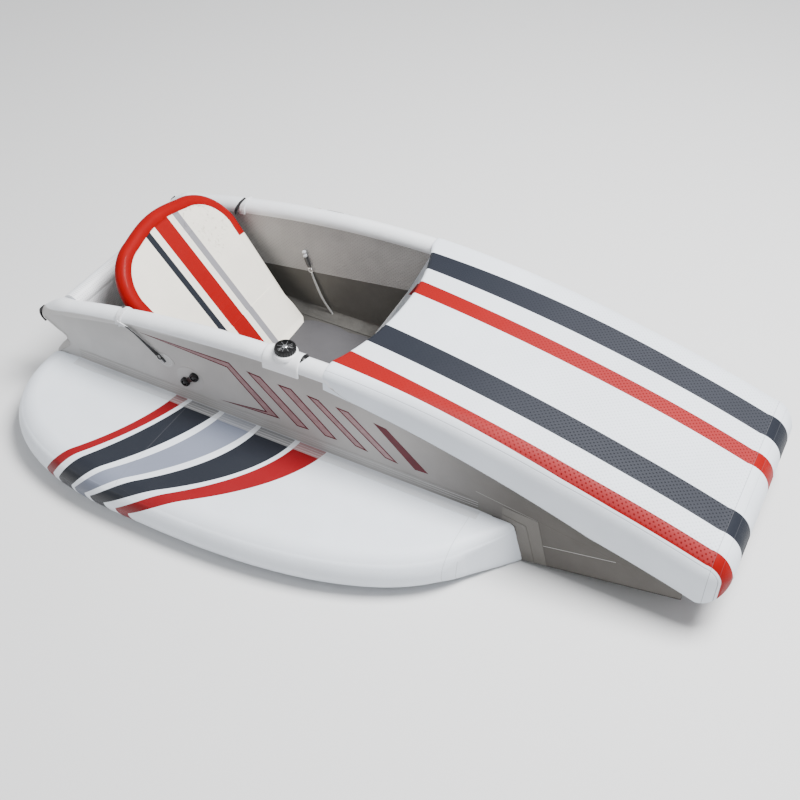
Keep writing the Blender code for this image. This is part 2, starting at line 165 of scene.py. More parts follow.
# Deck stripes: colour, then Y of the low and of the high edge at X 0, at the run's middle and at its end
DECK_STRIPES = [
    (DARK, (0.191, 0.169, 0.161), (0.274, 0.262, 0.251)),
    (RED, (0.065, 0.036, 0.027), (0.126, 0.095, 0.086)),
    (DARK, (-0.200, -0.233, -0.249), (-0.109, -0.144, -0.160)),
    (RED, (-0.327, -0.346, -0.356), (-0.265, -0.305, -0.320)),
]
DECK_STRIPE_RUN = 0.800
# Seat stripes: colour, lowest and highest Y
SEAT_STRIPES = [(DARK, -0.079, -0.055), (RED, -0.027, 0.040), (SEAT_GREY, 0.065, 0.091)]
# Wing stripes: colour, then X of the aft and of the forward edge at the wall, halfway out and at the side
WING_STRIPES = [
    (WING_RED, (-0.617, -0.694, -0.855), (-0.574, -0.662, -0.814)),
    (DARK, (-0.558, -0.642, -0.783), (-0.455, -0.549, -0.722)),
    (PALE, (-0.437, -0.519, -0.707), (-0.319, -0.422, -0.662)),
    (DARK, (-0.303, -0.392, -0.638), (-0.181, -0.292, -0.580)),
    (WING_RED, (-0.163, -0.272, -0.536), (-0.071, -0.199, -0.488)),
]
WING_REACH = 0.460
STRIPE_BLUR = 0.0008
# Marks on the outer wall, as X and Z of their corners: the bolt, four open bars and one filled bar
BOLT_MARK = [(-0.722, 0.356), (-0.394, 0.366), (-0.230, 0.209), (-0.443, 0.194), (-0.281, 0.219),
             (-0.404, 0.343)]
OPEN_BARS = [
    [(-0.334, 0.358), (-0.286, 0.355), (-0.128, 0.209), (-0.170, 0.206)],
    [(-0.227, 0.351), (-0.180, 0.352), (-0.032, 0.211), (-0.073, 0.209)],
    [(-0.129, 0.350), (-0.089, 0.348), (0.072, 0.210), (0.029, 0.215)],
    [(-0.033, 0.345), (0.010, 0.344), (0.170, 0.208), (0.128, 0.212)],
]
FILLED_BAR = [(0.091, 0.337), (0.132, 0.332), (0.267, 0.213), (0.225, 0.210)]
MARK_LINE = 0.0042
MARK_FILL_RISE = 0.0003
MARK_LINE_RISE = 0.0005
# Patches on the wall round the wing's front end, as X and Z of their corners
WING_PATCH = [(0.500, 0.196), (0.607, 0.188), (0.648, 0.0195), (0.560, 0.0020), (0.545, 0.139),
              (0.500, 0.142)]
WING_PATCH_TOP = [(0.500, 0.165), (0.574, 0.152), (0.611, 0.0125)] + WING_PATCH[3:]


# Shapes shared by several pieces

def spread(start, end, count):
    """Evenly spaced values with both ends."""
    return [start + (end - start) * i / (count - 1) for i in range(count)]


def full_turn(count):
    """Evenly spaced angles all the way round."""
    return [2 * math.pi * i / count for i in range(count)]


def quarter_turn(count):
    """Evenly spaced angles from 0 to a right angle."""
    return spread(0.0, math.pi / 2, count)


def rim_height(x):
    """Top of the side wall's rounded rim."""
    return RIM_CREST - RIM_CURVE * (x - RIM_CREST_X) ** 2


def deck_top(x):
    """Top of the foredeck."""
    return DECK_TOP_HEIGHT - DECK_TOP_SLOPE * x - DECK_TOP_CURVE * x * x


def deck_depth(x):
    """Depth of the foredeck board."""
    return min(DECK_FULL_DEPTH, DECK_AFT_DEPTH + DECK_DEPTH_GAIN * (x - DECK_AFT_END))


def deck_side_radius(x):
    """Radius of the foredeck's rounded side edge."""
    radius = DECK_AFT_SIDE_RADIUS + DECK_SIDE_RADIUS_GAIN * max(0.0, x - DECK_AFT_END)
    return min(DECK_FULL_SIDE_RADIUS, radius)


def deck_underside(x):
    """Underside of the foredeck board."""
    return deck_top(x) - deck_depth(x)


def bottom_height(x):
    """Underside of the hull, flat and then rising to the bow."""
    return BOTTOM_SLOPE * max(0.0, x - BOTTOM_RISE_START)


def deck_aft_edge(y):
    """The cockpit's curved front edge."""
    share = min(1.0, abs(y) / WALL_INNER)
    return DECK_AFT_CENTRE + (DECK_AFT_END - DECK_AFT_CENTRE) * share ** DECK_AFT_SWEEP_POWER


def rim_curve(last_angle, count):
    """Inset and height of points round a board's tube-like rim, from its crest."""
    return [(WALL_THICKNESS / 2 - RIM_RADIUS * math.cos(angle), RIM_RADIUS * math.sin(angle))
            for angle in spread(0.0, last_angle, count)]


def seat_point(across, along, out):
    """A point of the seat back: across it, up along it from the hinge, and out of its front."""
    x = out * math.cos(SEAT_LEAN) - along * math.sin(SEAT_LEAN)
    z = out * math.sin(SEAT_LEAN) + along * math.cos(SEAT_LEAN)
    return HINGE + Vector((x, across, z))


# Mesh tools

def finish_piece(name, bm, finishes, smooth_degrees=50.0, body="hull"):
    """Turn a bmesh into a piece that rides on a body, or on none where it is blended between two."""
    bmesh.ops.recalc_face_normals(bm, faces=bm.faces)
    mesh = bpy.data.meshes.new(name)
    bm.to_mesh(mesh)
    bm.free()
    mesh.shade_smooth()
    mesh.set_sharp_from_angle(angle=math.radians(smooth_degrees))
    for found in finishes:
        mesh.materials.append(found)
    piece = bpy.data.objects.new(name, mesh)
    bpy.context.scene.collection.objects.link(piece)
    if body:
        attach(piece, body)
    return piece


def skin_rings(rings, closed_loop=False, pick=None):
    """Join equal rings of points into one closed skin; pick gives each face its material."""
    bm = bmesh.new()
    loops = [[bm.verts.new(point) for point in ring] for ring in rings]
    pairs = list(zip(loops, loops[1:]))
    if closed_loop:
        pairs.append((loops[-1], loops[0]))
    for step, (first, second) in enumerate(pairs):
        count = len(first)
        for i in range(count):
            j = (i + 1) % count
            face = bm.faces.new((first[i], first[j], second[j], second[i]))
            if pick:
                face.material_index = pick(step, i, face.calc_center_median())
    if not closed_loop:
        for loop, step in ((loops[0], -1), (loops[-1], len(loops))):
            face = bm.faces.new(loop)
            if pick:
                face.material_index = pick(step, 0, face.calc_center_median())
    return bm


def inset_outline(outline, insets, least_slant=0.5):
    """Move each corner of a closed 2D outline inward by its own inset, held back at sharp tips."""
    count = len(outline)
    area = sum(a.x * b.y - b.x * a.y for a, b in zip(outline, outline[1:] + outline[:1]))
    turn = 1.0 if area > 0 else -1.0
    moved = []
    for i, point in enumerate(outline):
        before = (point - outline[i - 1]).normalized()
        after = (outline[(i + 1) % count] - point).normalized()
        normal_before = Vector((-before.y, before.x)) * turn
        normal_after = Vector((-after.y, after.x)) * turn
        bisector = (normal_before + normal_after).normalized()
        slant = max(least_slant, bisector.dot(normal_before))
        moved.append(point + bisector * (insets[i] / slant))
    return moved


def padded_board(outline, rooms, profile, place, pick=None):
    """A board whose edge follows a profile of (inset, height); a corner's inset stays within its room."""
    rings = []
    for inset, height in profile:
        ring = inset_outline(outline, [max(-room, min(inset, room)) for room in rooms])
        rings.append([place(point, height) for point in ring])
    return skin_rings(rings, pick=pick)


def mirror_profile(half):
    """A board profile from its upper half, listed from the edge's middle to the flat."""
    lower = [(inset, -height) for inset, height in reversed(half)]
    if half[0][1] == 0.0:
        lower = lower[:-1]
    return lower + half


def tube_along(points, radius, sides, closed=False):
    """A round tube along a path."""
    rings = []
    count = len(points)
    up = Vector((0.0, 0.0, 1.0))
    for i, point in enumerate(points):
        if closed:
            tangent = points[(i + 1) % count] - points[i - 1]
        else:
            tangent = points[min(i + 1, count - 1)] - points[max(i - 1, 0)]
        tangent.normalize()
        side = tangent.cross(up)
        if side.length < 1e-4:
            side = tangent.cross(Vector((1.0, 0.0, 0.0)))
        side.normalize()
        over = side.cross(tangent).normalized()
        rings.append([point + (side * math.cos(a) + over * math.sin(a)) * radius for a in full_turn(sides)])
    return skin_rings(rings, closed_loop=closed)


def smooth_path(points, steps):
    """A Catmull-Rom curve through the given points."""
    points = [Vector(point) for point in points]
    found = []
    for i in range(len(points) - 1):
        before = points[max(i - 1, 0)]
        start, end = points[i], points[i + 1]
        after = points[min(i + 2, len(points) - 1)]
        for step in range(steps):
            t = step / steps
            found.append(0.5 * ((2 * start) + (end - before) * t
                                + (2 * before - 5 * start + 4 * end - after) * t * t
                                + (3 * start - before - 3 * end + after) * t ** 3))
    found.append(points[-1])
    return found


# Shader tools

def place_node(tree, kind, settings=None, values=None):
    """Add a node, with its settings and the values or links of its inputs."""
    found = tree.nodes.new(kind)
    for key, value in (settings or {}).items():
        setattr(found, key, value)
    for key, value in (values or {}).items():
        if isinstance(value, bpy.types.NodeSocket):
            tree.links.new(value, found.inputs[key])
        else:
            found.inputs[key].default_value = value
    return found


def sums(tree, operation, first, second=0.0, clamp=False):
    """The output of one math node."""
    settings = {"operation": operation, "use_clamp": clamp}
    return place_node(tree, "ShaderNodeMath", settings, {0: first, 1: second}).outputs[0]


def times(tree, first, *others, clamp=False):
    """The product of two or more values."""
    for other in others:
        first = sums(tree, "MULTIPLY", first, other, clamp)
    return first


def plus(tree, first, *others, clamp=False):
    """The sum of two or more values."""
    for other in others:
        first = sums(tree, "ADD", first, other, clamp)
    return first


def minus(tree, first, second):
    """The difference of two values."""
    return sums(tree, "SUBTRACT", first, second)


def wave(tree, value, pitch, operation="SINE"):
    """A sine or cosine of a length, with its pitch."""
    return sums(tree, operation, times(tree, value, sums(tree, "DIVIDE", 2 * math.pi, pitch)))


def mix_colour(tree, factor, first, second, blend="MIX"):
    """The output of one colour mix."""
    found = place_node(tree, "ShaderNodeMix", {"data_type": "RGBA", "blend_type": blend}, {0: factor})
    for index, value in ((6, first), (7, second)):
        if isinstance(value, bpy.types.NodeSocket):
            tree.links.new(value, found.inputs[index])
        else:
            found.inputs[index].default_value = (*value, 1.0)
    return found.outputs[2]


def ramp(tree, value, low, high, out_low=0.0, out_high=1.0):
    """A smooth step of a value between two bounds."""
    found = place_node(tree, "ShaderNodeMapRange", {"interpolation_type": "SMOOTHSTEP"},
                       {0: value, 1: low, 2: high, 3: out_low, 4: out_high})
    return found.outputs[0]


FLOAT, VECTOR = "NodeSocketFloat", "NodeSocketVector"


def start_group(name, values, output, positions=()):
    """A new shader group with named inputs and one output; returns it with its input sockets."""
    group = bpy.data.node_groups.new(name, "ShaderNodeTree")
    for title in positions:
        group.interface.new_socket(title, in_out="INPUT", socket_type=VECTOR)
    for title, value in values.items():
        socket = group.interface.new_socket(title, in_out="INPUT", socket_type=FLOAT)
        socket.default_value = value
    group.interface.new_socket(output, in_out="OUTPUT", socket_type=FLOAT)
    return group, group.nodes.new("NodeGroupInput").outputs


def end_group(group, result):
    """Send the result to the group's output and give the group."""
    group.links.new(result, group.nodes.new("NodeGroupOutput").inputs[0])
    return group


def use_group(tree, group, **values):
    """Place a group with its values, named as its inputs with _ for a space, and give its output."""
    named = {key.replace("_", " "): value for key, value in values.items()}
    return place_node(tree, "ShaderNodeGroup", {"node_tree": group}, named).outputs[0]


def make_band_group():
    """Mask of a straight band of a coordinate."""
    group, into = start_group(
        "straight band", {"Coordinate": 0.0, "Low": 0.0, "High": 1.0, "Soft": 0.0006}, "Mask")
    above = sums(group, "DIVIDE", minus(group, into["Coordinate"], into["Low"]), into["Soft"])
    below = sums(group, "DIVIDE", minus(group, into["High"], into["Coordinate"]), into["Soft"])
    return end_group(group, plus(group, sums(group, "MINIMUM", above, below), 0.5, clamp=True))


def make_swept_edge_group():
    """How far a point lies past a swept edge, which is given by three places on its way out."""
    group, into = start_group(
        "swept edge", {"Along": 0.0, "Out": 0.0, "At start": 0.0, "Halfway": 0.0, "At end": 0.0}, "Distance")
    rest = minus(group, 1.0, into["Out"])
    near = minus(group, 1.0, times(group, into["Out"], 2.0))
    edge = plus(group,
                times(group, rest, near, into["At start"]),
                times(group, into["Out"], rest, 4.0, into["Halfway"]),
                times(group, into["Out"], near, -1.0, into["At end"]))
    return end_group(group, minus(group, into["Along"], edge))


def make_scrim_group():
    """Fine woven threads that press through the coating."""
    group, into = start_group("scrim weave", {"Pitch": 0.0016}, "Height", ["Position"])
    parts = place_node(group, "ShaderNodeSeparateXYZ", None, {0: into["Position"]}).outputs
    waves = [wave(group, part, into["Pitch"]) for part in parts]
    return end_group(group, plus(group, *waves))


def make_dimple_group():
    """Small round pits in a diamond lattice, as the anti-slip print has."""
    group, into = start_group(
        "diamond dimples", {"Along": 0.0, "Across": 0.0, "Pitch": 0.010, "Size": 0.5}, "Mask")
    lattice = times(group, wave(group, into["Along"], into["Pitch"], "COSINE"),
                    wave(group, into["Across"], into["Pitch"], "COSINE"))
    return end_group(group, ramp(group, lattice, minus(group, 0.9, into["Size"]), 0.95))


def make_cloud_group():
    """Slow uneven tone from handling, dust and the thickness of the coating."""
    group, into = start_group("cloudy tone", {"Scale": 5.0, "Low": 0.9, "High": 1.0}, "Tone", ["Position"])
    noise = place_node(group, "ShaderNodeTexNoise", None,
                       {"Vector": into["Position"], "Scale": into["Scale"], "Detail": 4.0, "Roughness": 0.6})
    share = ramp(group, noise.outputs["Fac"], 0.30, 0.72)
    span = minus(group, into["High"], into["Low"])
    return end_group(group, plus(group, times(group, share, span), into["Low"]))


def make_pucker_group():
    """Soft puckers of coated fabric."""
    group, into = start_group("soft puckers", {"Scale": 18.0}, "Height", ["Position"])
    noise = place_node(group, "ShaderNodeTexNoise", None,
                       {"Vector": into["Position"], "Scale": into["Scale"], "Detail": 3.0, "Roughness": 0.45,
                        "Distortion": 0.6})
    return end_group(group, minus(group, noise.outputs["Fac"], 0.5))


def make_drawn_line_group():
    """Mask of a short straight line on a wall, from its start, its slope angle and its length."""
    group, into = start_group(
        "drawn line", {"Along": 0.0, "Up": 0.0, "Start along": 0.0, "Start up": 0.0, "Slope": 0.0,
                       "Length": 0.1, "Width": 0.001}, "Mask")
    run = minus(group, into["Along"], into["Start along"])
    rise = minus(group, into["Up"], into["Start up"])
    cosine = sums(group, "COSINE", into["Slope"])
    sine = sums(group, "SINE", into["Slope"])
    forward = plus(group, times(group, run, cosine), times(group, rise, sine))
    aside = minus(group, times(group, rise, cosine), times(group, run, sine))
    across = use_group(group, BAND, Coordinate=sums(group, "ABSOLUTE", aside), Low=-1.0,
                       High=times(group, into["Width"], 0.5), Soft=0.0005)
    lengthwise = use_group(group, BAND, Coordinate=forward, Low=0.0, High=into["Length"], Soft=0.0005)
    return end_group(group, times(group, across, lengthwise))


BAND = make_band_group()
SWEPT = make_swept_edge_group()
SCRIM = make_scrim_group()
DIMPLES = make_dimple_group()
CLOUD = make_cloud_group()
PUCKERS = make_pucker_group()
DRAWN_LINE = make_drawn_line_group()


class Finish:
    """One material under construction: its coordinates, its colour so far and its height so far."""

    def __init__(self, name, base, roughness, coat=0.0, sheen=0.0, metallic=0.0, shine=0.25):
        self.material = bpy.data.materials.new(name)
        self.material.use_nodes = True
        self.tree = self.material.node_tree
        self.shader = self.tree.nodes["Principled BSDF"]
        settings = {"Roughness": roughness, "Metallic": metallic, "Coat Weight": coat, "Coat Roughness": 0.12,
                    "Sheen Weight": sheen, "Specular IOR Level": shine}
        for key, value in settings.items():
            self.shader.inputs[key].default_value = value
        self.position = self.tree.nodes.new("ShaderNodeTexCoord").outputs["Object"]
        parts = place_node(self.tree, "ShaderNodeSeparateXYZ", None, {0: self.position})
        self.x, self.y, self.z = parts.outputs
        self.colour = base
        self.height = None

    def paint(self, mask, colour):
        """Lay a colour over the mask."""
        self.colour = mix_colour(self.tree, mask, self.colour, colour)

    def darken(self, mask, tint):
        """Multiply the colour by a tint where the mask is."""
        self.colour = mix_colour(self.tree, mask, self.colour, tint, "MULTIPLY")

    def band(self, coordinate, low, high, soft=0.0006):
        """Mask of a straight band."""
        return use_group(self.tree, BAND, Coordinate=coordinate, Low=low, High=high, Soft=soft)

    def stripe(self, along, out, low, high):
        """Mask of a stripe between two swept edges, each given at the start, halfway and at the end."""
        sides = []
        for start, halfway, end in (low, high):
            distance = use_group(self.tree, SWEPT, Along=along, Out=out, At_start=start, Halfway=halfway,
                                 At_end=end)
            sides.append(plus(self.tree, sums(self.tree, "DIVIDE", distance, STRIPE_BLUR), 0.5, clamp=True))
        return times(self.tree, sides[0], minus(self.tree, 1.0, sides[1]))

    def dimples(self, along, across, pitch, size):
        """Mask of the dimpled print."""
        return use_group(self.tree, DIMPLES, Along=along, Across=across, Pitch=pitch, Size=size)

    def tone(self, low, high=1.0, scale=5.0):
        """Multiply the colour by a slow uneven tone."""
        value = use_group(self.tree, CLOUD, Position=self.position, Scale=scale, Low=low, High=high)
        self.colour = mix_colour(self.tree, 1.0, self.colour, value, "MULTIPLY")

    def raise_by(self, height, size):
        """Add a height in metres to the surface."""
        part = times(self.tree, height, size)
        self.height = part if self.height is None else plus(self.tree, self.height, part)

    def scrim(self, pitch=0.0016, size=0.00004):
        """Press the woven threads through."""
        self.raise_by(use_group(self.tree, SCRIM, Position=self.position, Pitch=pitch), size)

    def puckers(self, scale, size):
        """Let the coated fabric pucker softly."""
        self.raise_by(use_group(self.tree, PUCKERS, Position=self.position, Scale=scale), size)

    def seam(self, coordinate, place, width=0.0012, strength=0.45, colour=(0.12, 0.12, 0.13)):
        """A fine glued seam: a thin line of another tone with a small groove."""
        mask = self.band(coordinate, place - width / 2, place + width / 2, width * 0.6)
        self.paint(times(self.tree, mask, strength), colour)
        self.raise_by(mask, -0.0004)

    def wall_seam(self, start, end, width=0.0016, strength=0.5, colour=(0.62, 0.61, 0.59)):
        """A raised seam line on the wall between two points given as X and Z."""
        run, rise = end[0] - start[0], end[1] - start[1]
        mask = use_group(self.tree, DRAWN_LINE, Along=self.x, Up=self.z, Start_along=start[0],
                         Start_up=start[1], Slope=math.atan2(rise, run), Length=math.hypot(run, rise),
                         Width=width)
        self.paint(times(self.tree, mask, strength), colour)
        self.raise_by(mask, 0.0004)

    def done(self, uneven=0.0):
        """Connect colour, height and an uneven roughness, and give the material."""
        self.tree.links.new(self.colour, self.shader.inputs["Base Color"])
        if self.height is not None:
            bump = place_node(self.tree, "ShaderNodeBump", None,
                              {"Strength": 1.0, "Distance": 1.0, "Height": self.height})
            self.tree.links.new(bump.outputs[0], self.shader.inputs["Normal"])
        if uneven:
            base = self.shader.inputs["Roughness"].default_value
            value = use_group(self.tree, CLOUD, Position=self.position, Scale=9.0, Low=base - uneven,
                              High=base + uneven)
            self.tree.links.new(value, self.shader.inputs["Roughness"])
        return self.material


# Finishes

def make_deck_finish():
    """Glossy white deck with its stripes, the dimpled print, a painted sheen on the stripes toward the bow,
    the bow tape and the side seam.
    """
    print_half_width, seam_y = 0.352, 0.3615
    edge_x, edge_z = 0.020, 0.4476
    finish = Finish("deck coated fabric", WHITE, 0.46, shine=0.10)
    tree = finish.tree
    stripes = None
    share = sums(tree, "MINIMUM", sums(tree, "DIVIDE", finish.x, DECK_STRIPE_RUN), 1.0)
    top_side = sums(tree, "MAXIMUM", ramp(tree, finish.x, edge_x - 0.001, edge_x),
                    ramp(tree, finish.z, edge_z - 0.0006, edge_z))
    for colour, low, high in DECK_STRIPES:
        mask = times(tree, finish.stripe(finish.y, share, low, high), top_side)
        finish.paint(mask, colour)
        stripes = mask if stripes is None else sums(tree, "MAXIMUM", stripes, mask)
    print_area = times(tree, finish.band(finish.x, -1.0, BOW_SEAM_X, 0.001),
                       finish.band(finish.y, -print_half_width, print_half_width, 0.004),
                       finish.band(finish.z, 0.19, 1.0, 0.01))
    toward_bow = ramp(tree, finish.x, 0.05, 0.70, 0.15, 1.0)
    dots = times(tree, finish.dimples(finish.x, finish.y, 0.0150, 0.62), print_area, toward_bow)
    # Painted reflection: between the dimples the stripes are lightened, more toward the bow, for the sky's
    # sheen on them
    painted_sheen = times(tree, minus(tree, print_area, dots), toward_bow, clamp=True)
    finish.paint(times(tree, painted_sheen, stripes, 0.030), (0.70, 0.70, 0.76))
    finish.darken(times(tree, dots, ramp(tree, stripes, 0.0, 1.0, 0.30, 0.78)), (0.42, 0.42, 0.44))
    finish.raise_by(dots, -0.0006)
    finish.seam(finish.x, BOW_SEAM_X, strength=0.6)
    finish.seam(finish.x, BOW_SEAM_X + 0.026, strength=0.25)
    finish.seam(sums(tree, "ABSOLUTE", finish.y), seam_y, strength=0.5)
    finish.tone(0.93, 1.0, 4.0)
    finish.scrim()
    finish.puckers(9.0, 0.0012)
    return finish.done(0.05)


def make_plain_finish(name, base, roughness, tone=(0.92, 1.0, 5.0), puckers=(12.0, 0.0012), weave=(),
                      coat=0.05, shine=0.25, uneven=0.05):
    """Plain coated fabric: its tone and scale of tone, its puckers and its weave."""
    finish = Finish(name, base, roughness, coat=coat, shine=shine)
    finish.tone(*tone)
    if weave is not None:
        finish.scrim(*weave)
    finish.puckers(*puckers)
    return finish.done(uneven)


def make_rim_finish():
    """Rim tape, whose white narrows toward the stern on the outer side."""
    finish = Finish("rim tape", RIM_WHITE, 0.38, coat=0.05)
    tree = finish.tree
    past_crest = sums(tree, "POWER", minus(tree, finish.x, RIM_CREST_X), 2.0)
    rim_top = minus(tree, RIM_CREST, times(tree, past_crest, RIM_CURVE))
    width = ramp(tree, finish.x, -1.05, -0.20, 0.020, 0.046)
    below = minus(tree, minus(tree, rim_top, width), finish.z)
    outer = minus(tree, sums(tree, "ABSOLUTE", finish.y), WALL_MIDDLE)
    finish.paint(times(tree, ramp(tree, below, -0.003, 0.003), ramp(tree, outer, 0.0, 0.001)), PANEL_GREY)
    finish.tone(0.93, 1.0, 5.0)
    finish.scrim()
    finish.puckers(12.0, 0.0018)
    return finish.done(0.05)


def make_wall_finish():
    """Outer wall panel: grey fabric with the woven print; toward the bow it goes browner and much darker,
    partly the fabric's own tone and mostly painted shade under the deck's overhang.
    """
    finish = Finish("outer wall fabric", PANEL_GREY, 0.55)
    tree = finish.tree
    # Painted shade: the wall goes browner, then much darker toward the bow, for the shade under the deck's
    # overhang
    finish.paint(ramp(tree, finish.x, -1.0, 0.15, 0.0, 0.55), PANEL_BROWN_AND_SHADE)
    finish.paint(ramp(tree, finish.x, 0.05, 0.58, 0.0, 0.92), BOW_SHADE_GREY)
    along_rim = minus(tree, finish.z, times(tree, finish.x, 0.08))
    finish.paint(ramp(tree, along_rim, 0.34, 0.42, 0.0, 0.25), (0.30, 0.29, 0.28))
    finish.wall_seam((0.416, 0.216), (0.607, 0.188), strength=0.35)
    finish.wall_seam((0.630, 0.097), (0.839, 0.144), strength=0.8)
    finish.wall_seam((0.607, 0.188), (0.875, 0.143), width=0.004, strength=0.25, colour=(0.10, 0.09, 0.08))
    finish.tone(0.88, 1.0, 6.0)
    finish.scrim(0.0032, 0.00012)
    finish.puckers(14.0, 0.0018)
    return finish.done(0.05)


def make_inner_finish():
    """Inner wall: dimpled grey above, smooth dark fabric below a sloping edge."""
    finish = Finish("inner wall fabric", INNER_GREY, 0.52)
    tree = finish.tree
    slope, edge_height = 0.14, 0.269
    lower = finish.band(minus(tree, finish.z, times(tree, finish.x, slope)), -1.0, edge_height, 0.001)
    dots = times(tree, finish.dimples(finish.x, finish.z, 0.0135, 0.7), minus(tree, 1.0, lower))
    finish.paint(times(tree, dots, 0.38), (0.13, 0.125, 0.12))
    finish.paint(lower, BAND_BROWN)
    finish.raise_by(dots, -0.0006)
    finish.raise_by(lower, 0.0005)
    finish.tone(0.84, 1.0, 7.0)
    finish.puckers(16.0, 0.0018)
    return finish.done(0.05)


def make_wing_finish(name, side, edge=False, veil=0.0):
    """Wing fabric with its swept stripes; the edge tape is glossier, and a veil pales the stripes."""
    finish = Finish(name, WHITE, 0.36 if edge else 0.44, coat=0.10 if edge else 0.02)
    tree = finish.tree
    radius = WING_THICKNESS / 2
    lowest_print = 0.034
    edge_depth = 0.72 if edge else 1.0
    # The way out over the wing, along its flat top and then round its side
    level = sums(tree, "DIVIDE", minus(tree, finish.z, radius), radius, clamp=True)
    turn = sums(tree, "ARCCOSINE", level)
    bend = times(tree, minus(tree, turn, sums(tree, "SINE", turn)), radius)
    past_wall = minus(tree, times(tree, finish.y, float(side)), HULL_HALF_WIDTH)
    share = sums(tree, "DIVIDE", plus(tree, past_wall, bend), WING_REACH)
    above = finish.band(finish.z, lowest_print, WING_THICKNESS + 0.003, 0.001)
    for colour, aft, front in WING_STRIPES:
        mask = times(tree, finish.stripe(finish.x, share, aft, front), above)
        finish.paint(mask, tuple(part * edge_depth for part in colour))
    if veil:
        finish.paint(veil, TAPE_GREY)
        wall_part = finish.band(finish.z, WING_THICKNESS + 0.004, 1.0, 0.001)
        finish.paint(wall_part, (0.400, 0.385, 0.372))
        # The tape's wall part takes the wall's painted shade toward the bow
        finish.paint(times(tree, wall_part, ramp(tree, finish.x, 0.05, 0.58)), BOW_SHADE_GREY)
        out = sums(tree, "ABSOLUTE", finish.y)
        for line in (0.0095, 0.0185, 0.0275):
            finish.seam(out, HULL_HALF_WIDTH + line, strength=0.55, colour=(0.70, 0.70, 0.70))
            finish.seam(finish.z, WING_THICKNESS + 0.006 + line, strength=0.55, colour=(0.70, 0.70, 0.70))
    else:
        finish.seam(finish.x, 0.4140, strength=0.35)
        # The second seam stops short of the flat top
        front_line = plus(tree, finish.x, ramp(tree, finish.z, 0.10, 0.13))
        finish.seam(front_line, 0.4420, strength=0.35)
    finish.tone(0.93, 1.0, 4.0)
    finish.scrim()
    finish.puckers(7.0, 0.0022 if edge else 0.0014)
    return finish.done(0.04)


def make_seat_finish():
    """Seat face: cream fabric with three stripes, small puckers and creases darkened with painted shade."""
    finish = Finish("seat fabric", CREAM, 0.50, shine=0.08)
    tree = finish.tree
    for colour, low, high in SEAT_STRIPES:
        finish.paint(finish.band(finish.y, low, high), colour)
    finish.tone(0.95, 1.0, 8.0)
    finish.scrim(0.0026, 0.00010)
    finish.puckers(22.0, 0.0016)
    creases = place_node(tree, "ShaderNodeTexNoise", None,
                         {"Vector": finish.position, "Scale": 46.0, "Detail": 2.0, "Distortion": 1.2})
    shaded_creases = times(tree, ramp(tree, creases.outputs["Fac"], 0.60, 0.72),
                  ramp(tree, finish.z, 0.24, 0.36), ramp(tree, finish.y, 0.02, 0.12))
    finish.raise_by(shaded_creases, -0.0020)
    # Painted shade: the crease grooves are darkened
    finish.darken(times(tree, shaded_creases, 0.30), (0.62, 0.56, 0.48))
    return finish.done(0.05)


def make_mat_finish():
    """Grey foam mat."""
    finish = Finish("grey foam mat", MAT_GREY, 0.62)
    cells = place_node(finish.tree, "ShaderNodeTexVoronoi", None, {"Vector": finish.position, "Scale": 700.0})
    finish.raise_by(cells.outputs["Distance"], 0.00015)
    finish.tone(0.90, 1.05, 5.0)
    return finish.done(0.06)


def make_stern_finish():
    """Stern board fabric with its open woven grid, whiter than the other white fabric as painted light on its
    shaded face.
    """
    finish = Finish("stern board fabric", STERN_LIT_WHITE, 0.48)
    tree = finish.tree
    grid = finish.dimples(plus(tree, finish.y, finish.z), minus(tree, finish.y, finish.z), 0.0160, 0.75)
    finish.paint(times(tree, grid, 0.30), (0.25, 0.26, 0.28))
    finish.raise_by(grid, -0.0005)
    finish.tone(0.88, 1.0, 8.0)
    return finish.done(0.05)


def make_webbing_finish(name, base):
    """Woven webbing with its ribs."""
    finish = Finish(name, base, 0.80, sheen=0.2)
    tree = finish.tree
    lean, rib_pitch, cross_pitch = 0.65, 0.0016, 0.0022
    lean_x = plus(tree, finish.x, times(tree, finish.z, -lean))
    lean_z = plus(tree, finish.z, times(tree, finish.x, lean))
    ribs = sums(tree, "SINE", times(tree, lean_x, 2 * math.pi / rib_pitch))
    cross = sums(tree, "SINE", times(tree, lean_z, 2 * math.pi / cross_pitch))
    finish.raise_by(times(tree, ribs, cross), 0.00018)
    finish.tone(0.80, 1.05, 60.0)
    return finish.done()


def make_plastic_finish(name, base, roughness, coat=0.2):
    """Moulded plastic with fine pitting."""
    finish = Finish(name, base, roughness, coat=coat)
    noise = place_node(finish.tree, "ShaderNodeTexNoise", None, {"Vector": finish.position, "Scale": 700.0})
    finish.raise_by(noise.outputs["Fac"], 0.0001)
    finish.tone(0.85, 1.1, 40.0)
    return finish.done(0.05)


def make_metal_finish():
    """Bright plated metal."""
    finish = Finish("plated metal", (0.78, 0.78, 0.79), 0.20, metallic=1.0, shine=0.5)
    finish.tone(0.88, 1.0, 60.0)
    return finish.done(0.04)


DECK_FINISH = make_deck_finish()
RIM_FINISH = make_rim_finish()
WALL_FINISH = make_wall_finish()
INNER_FINISH = make_inner_finish()
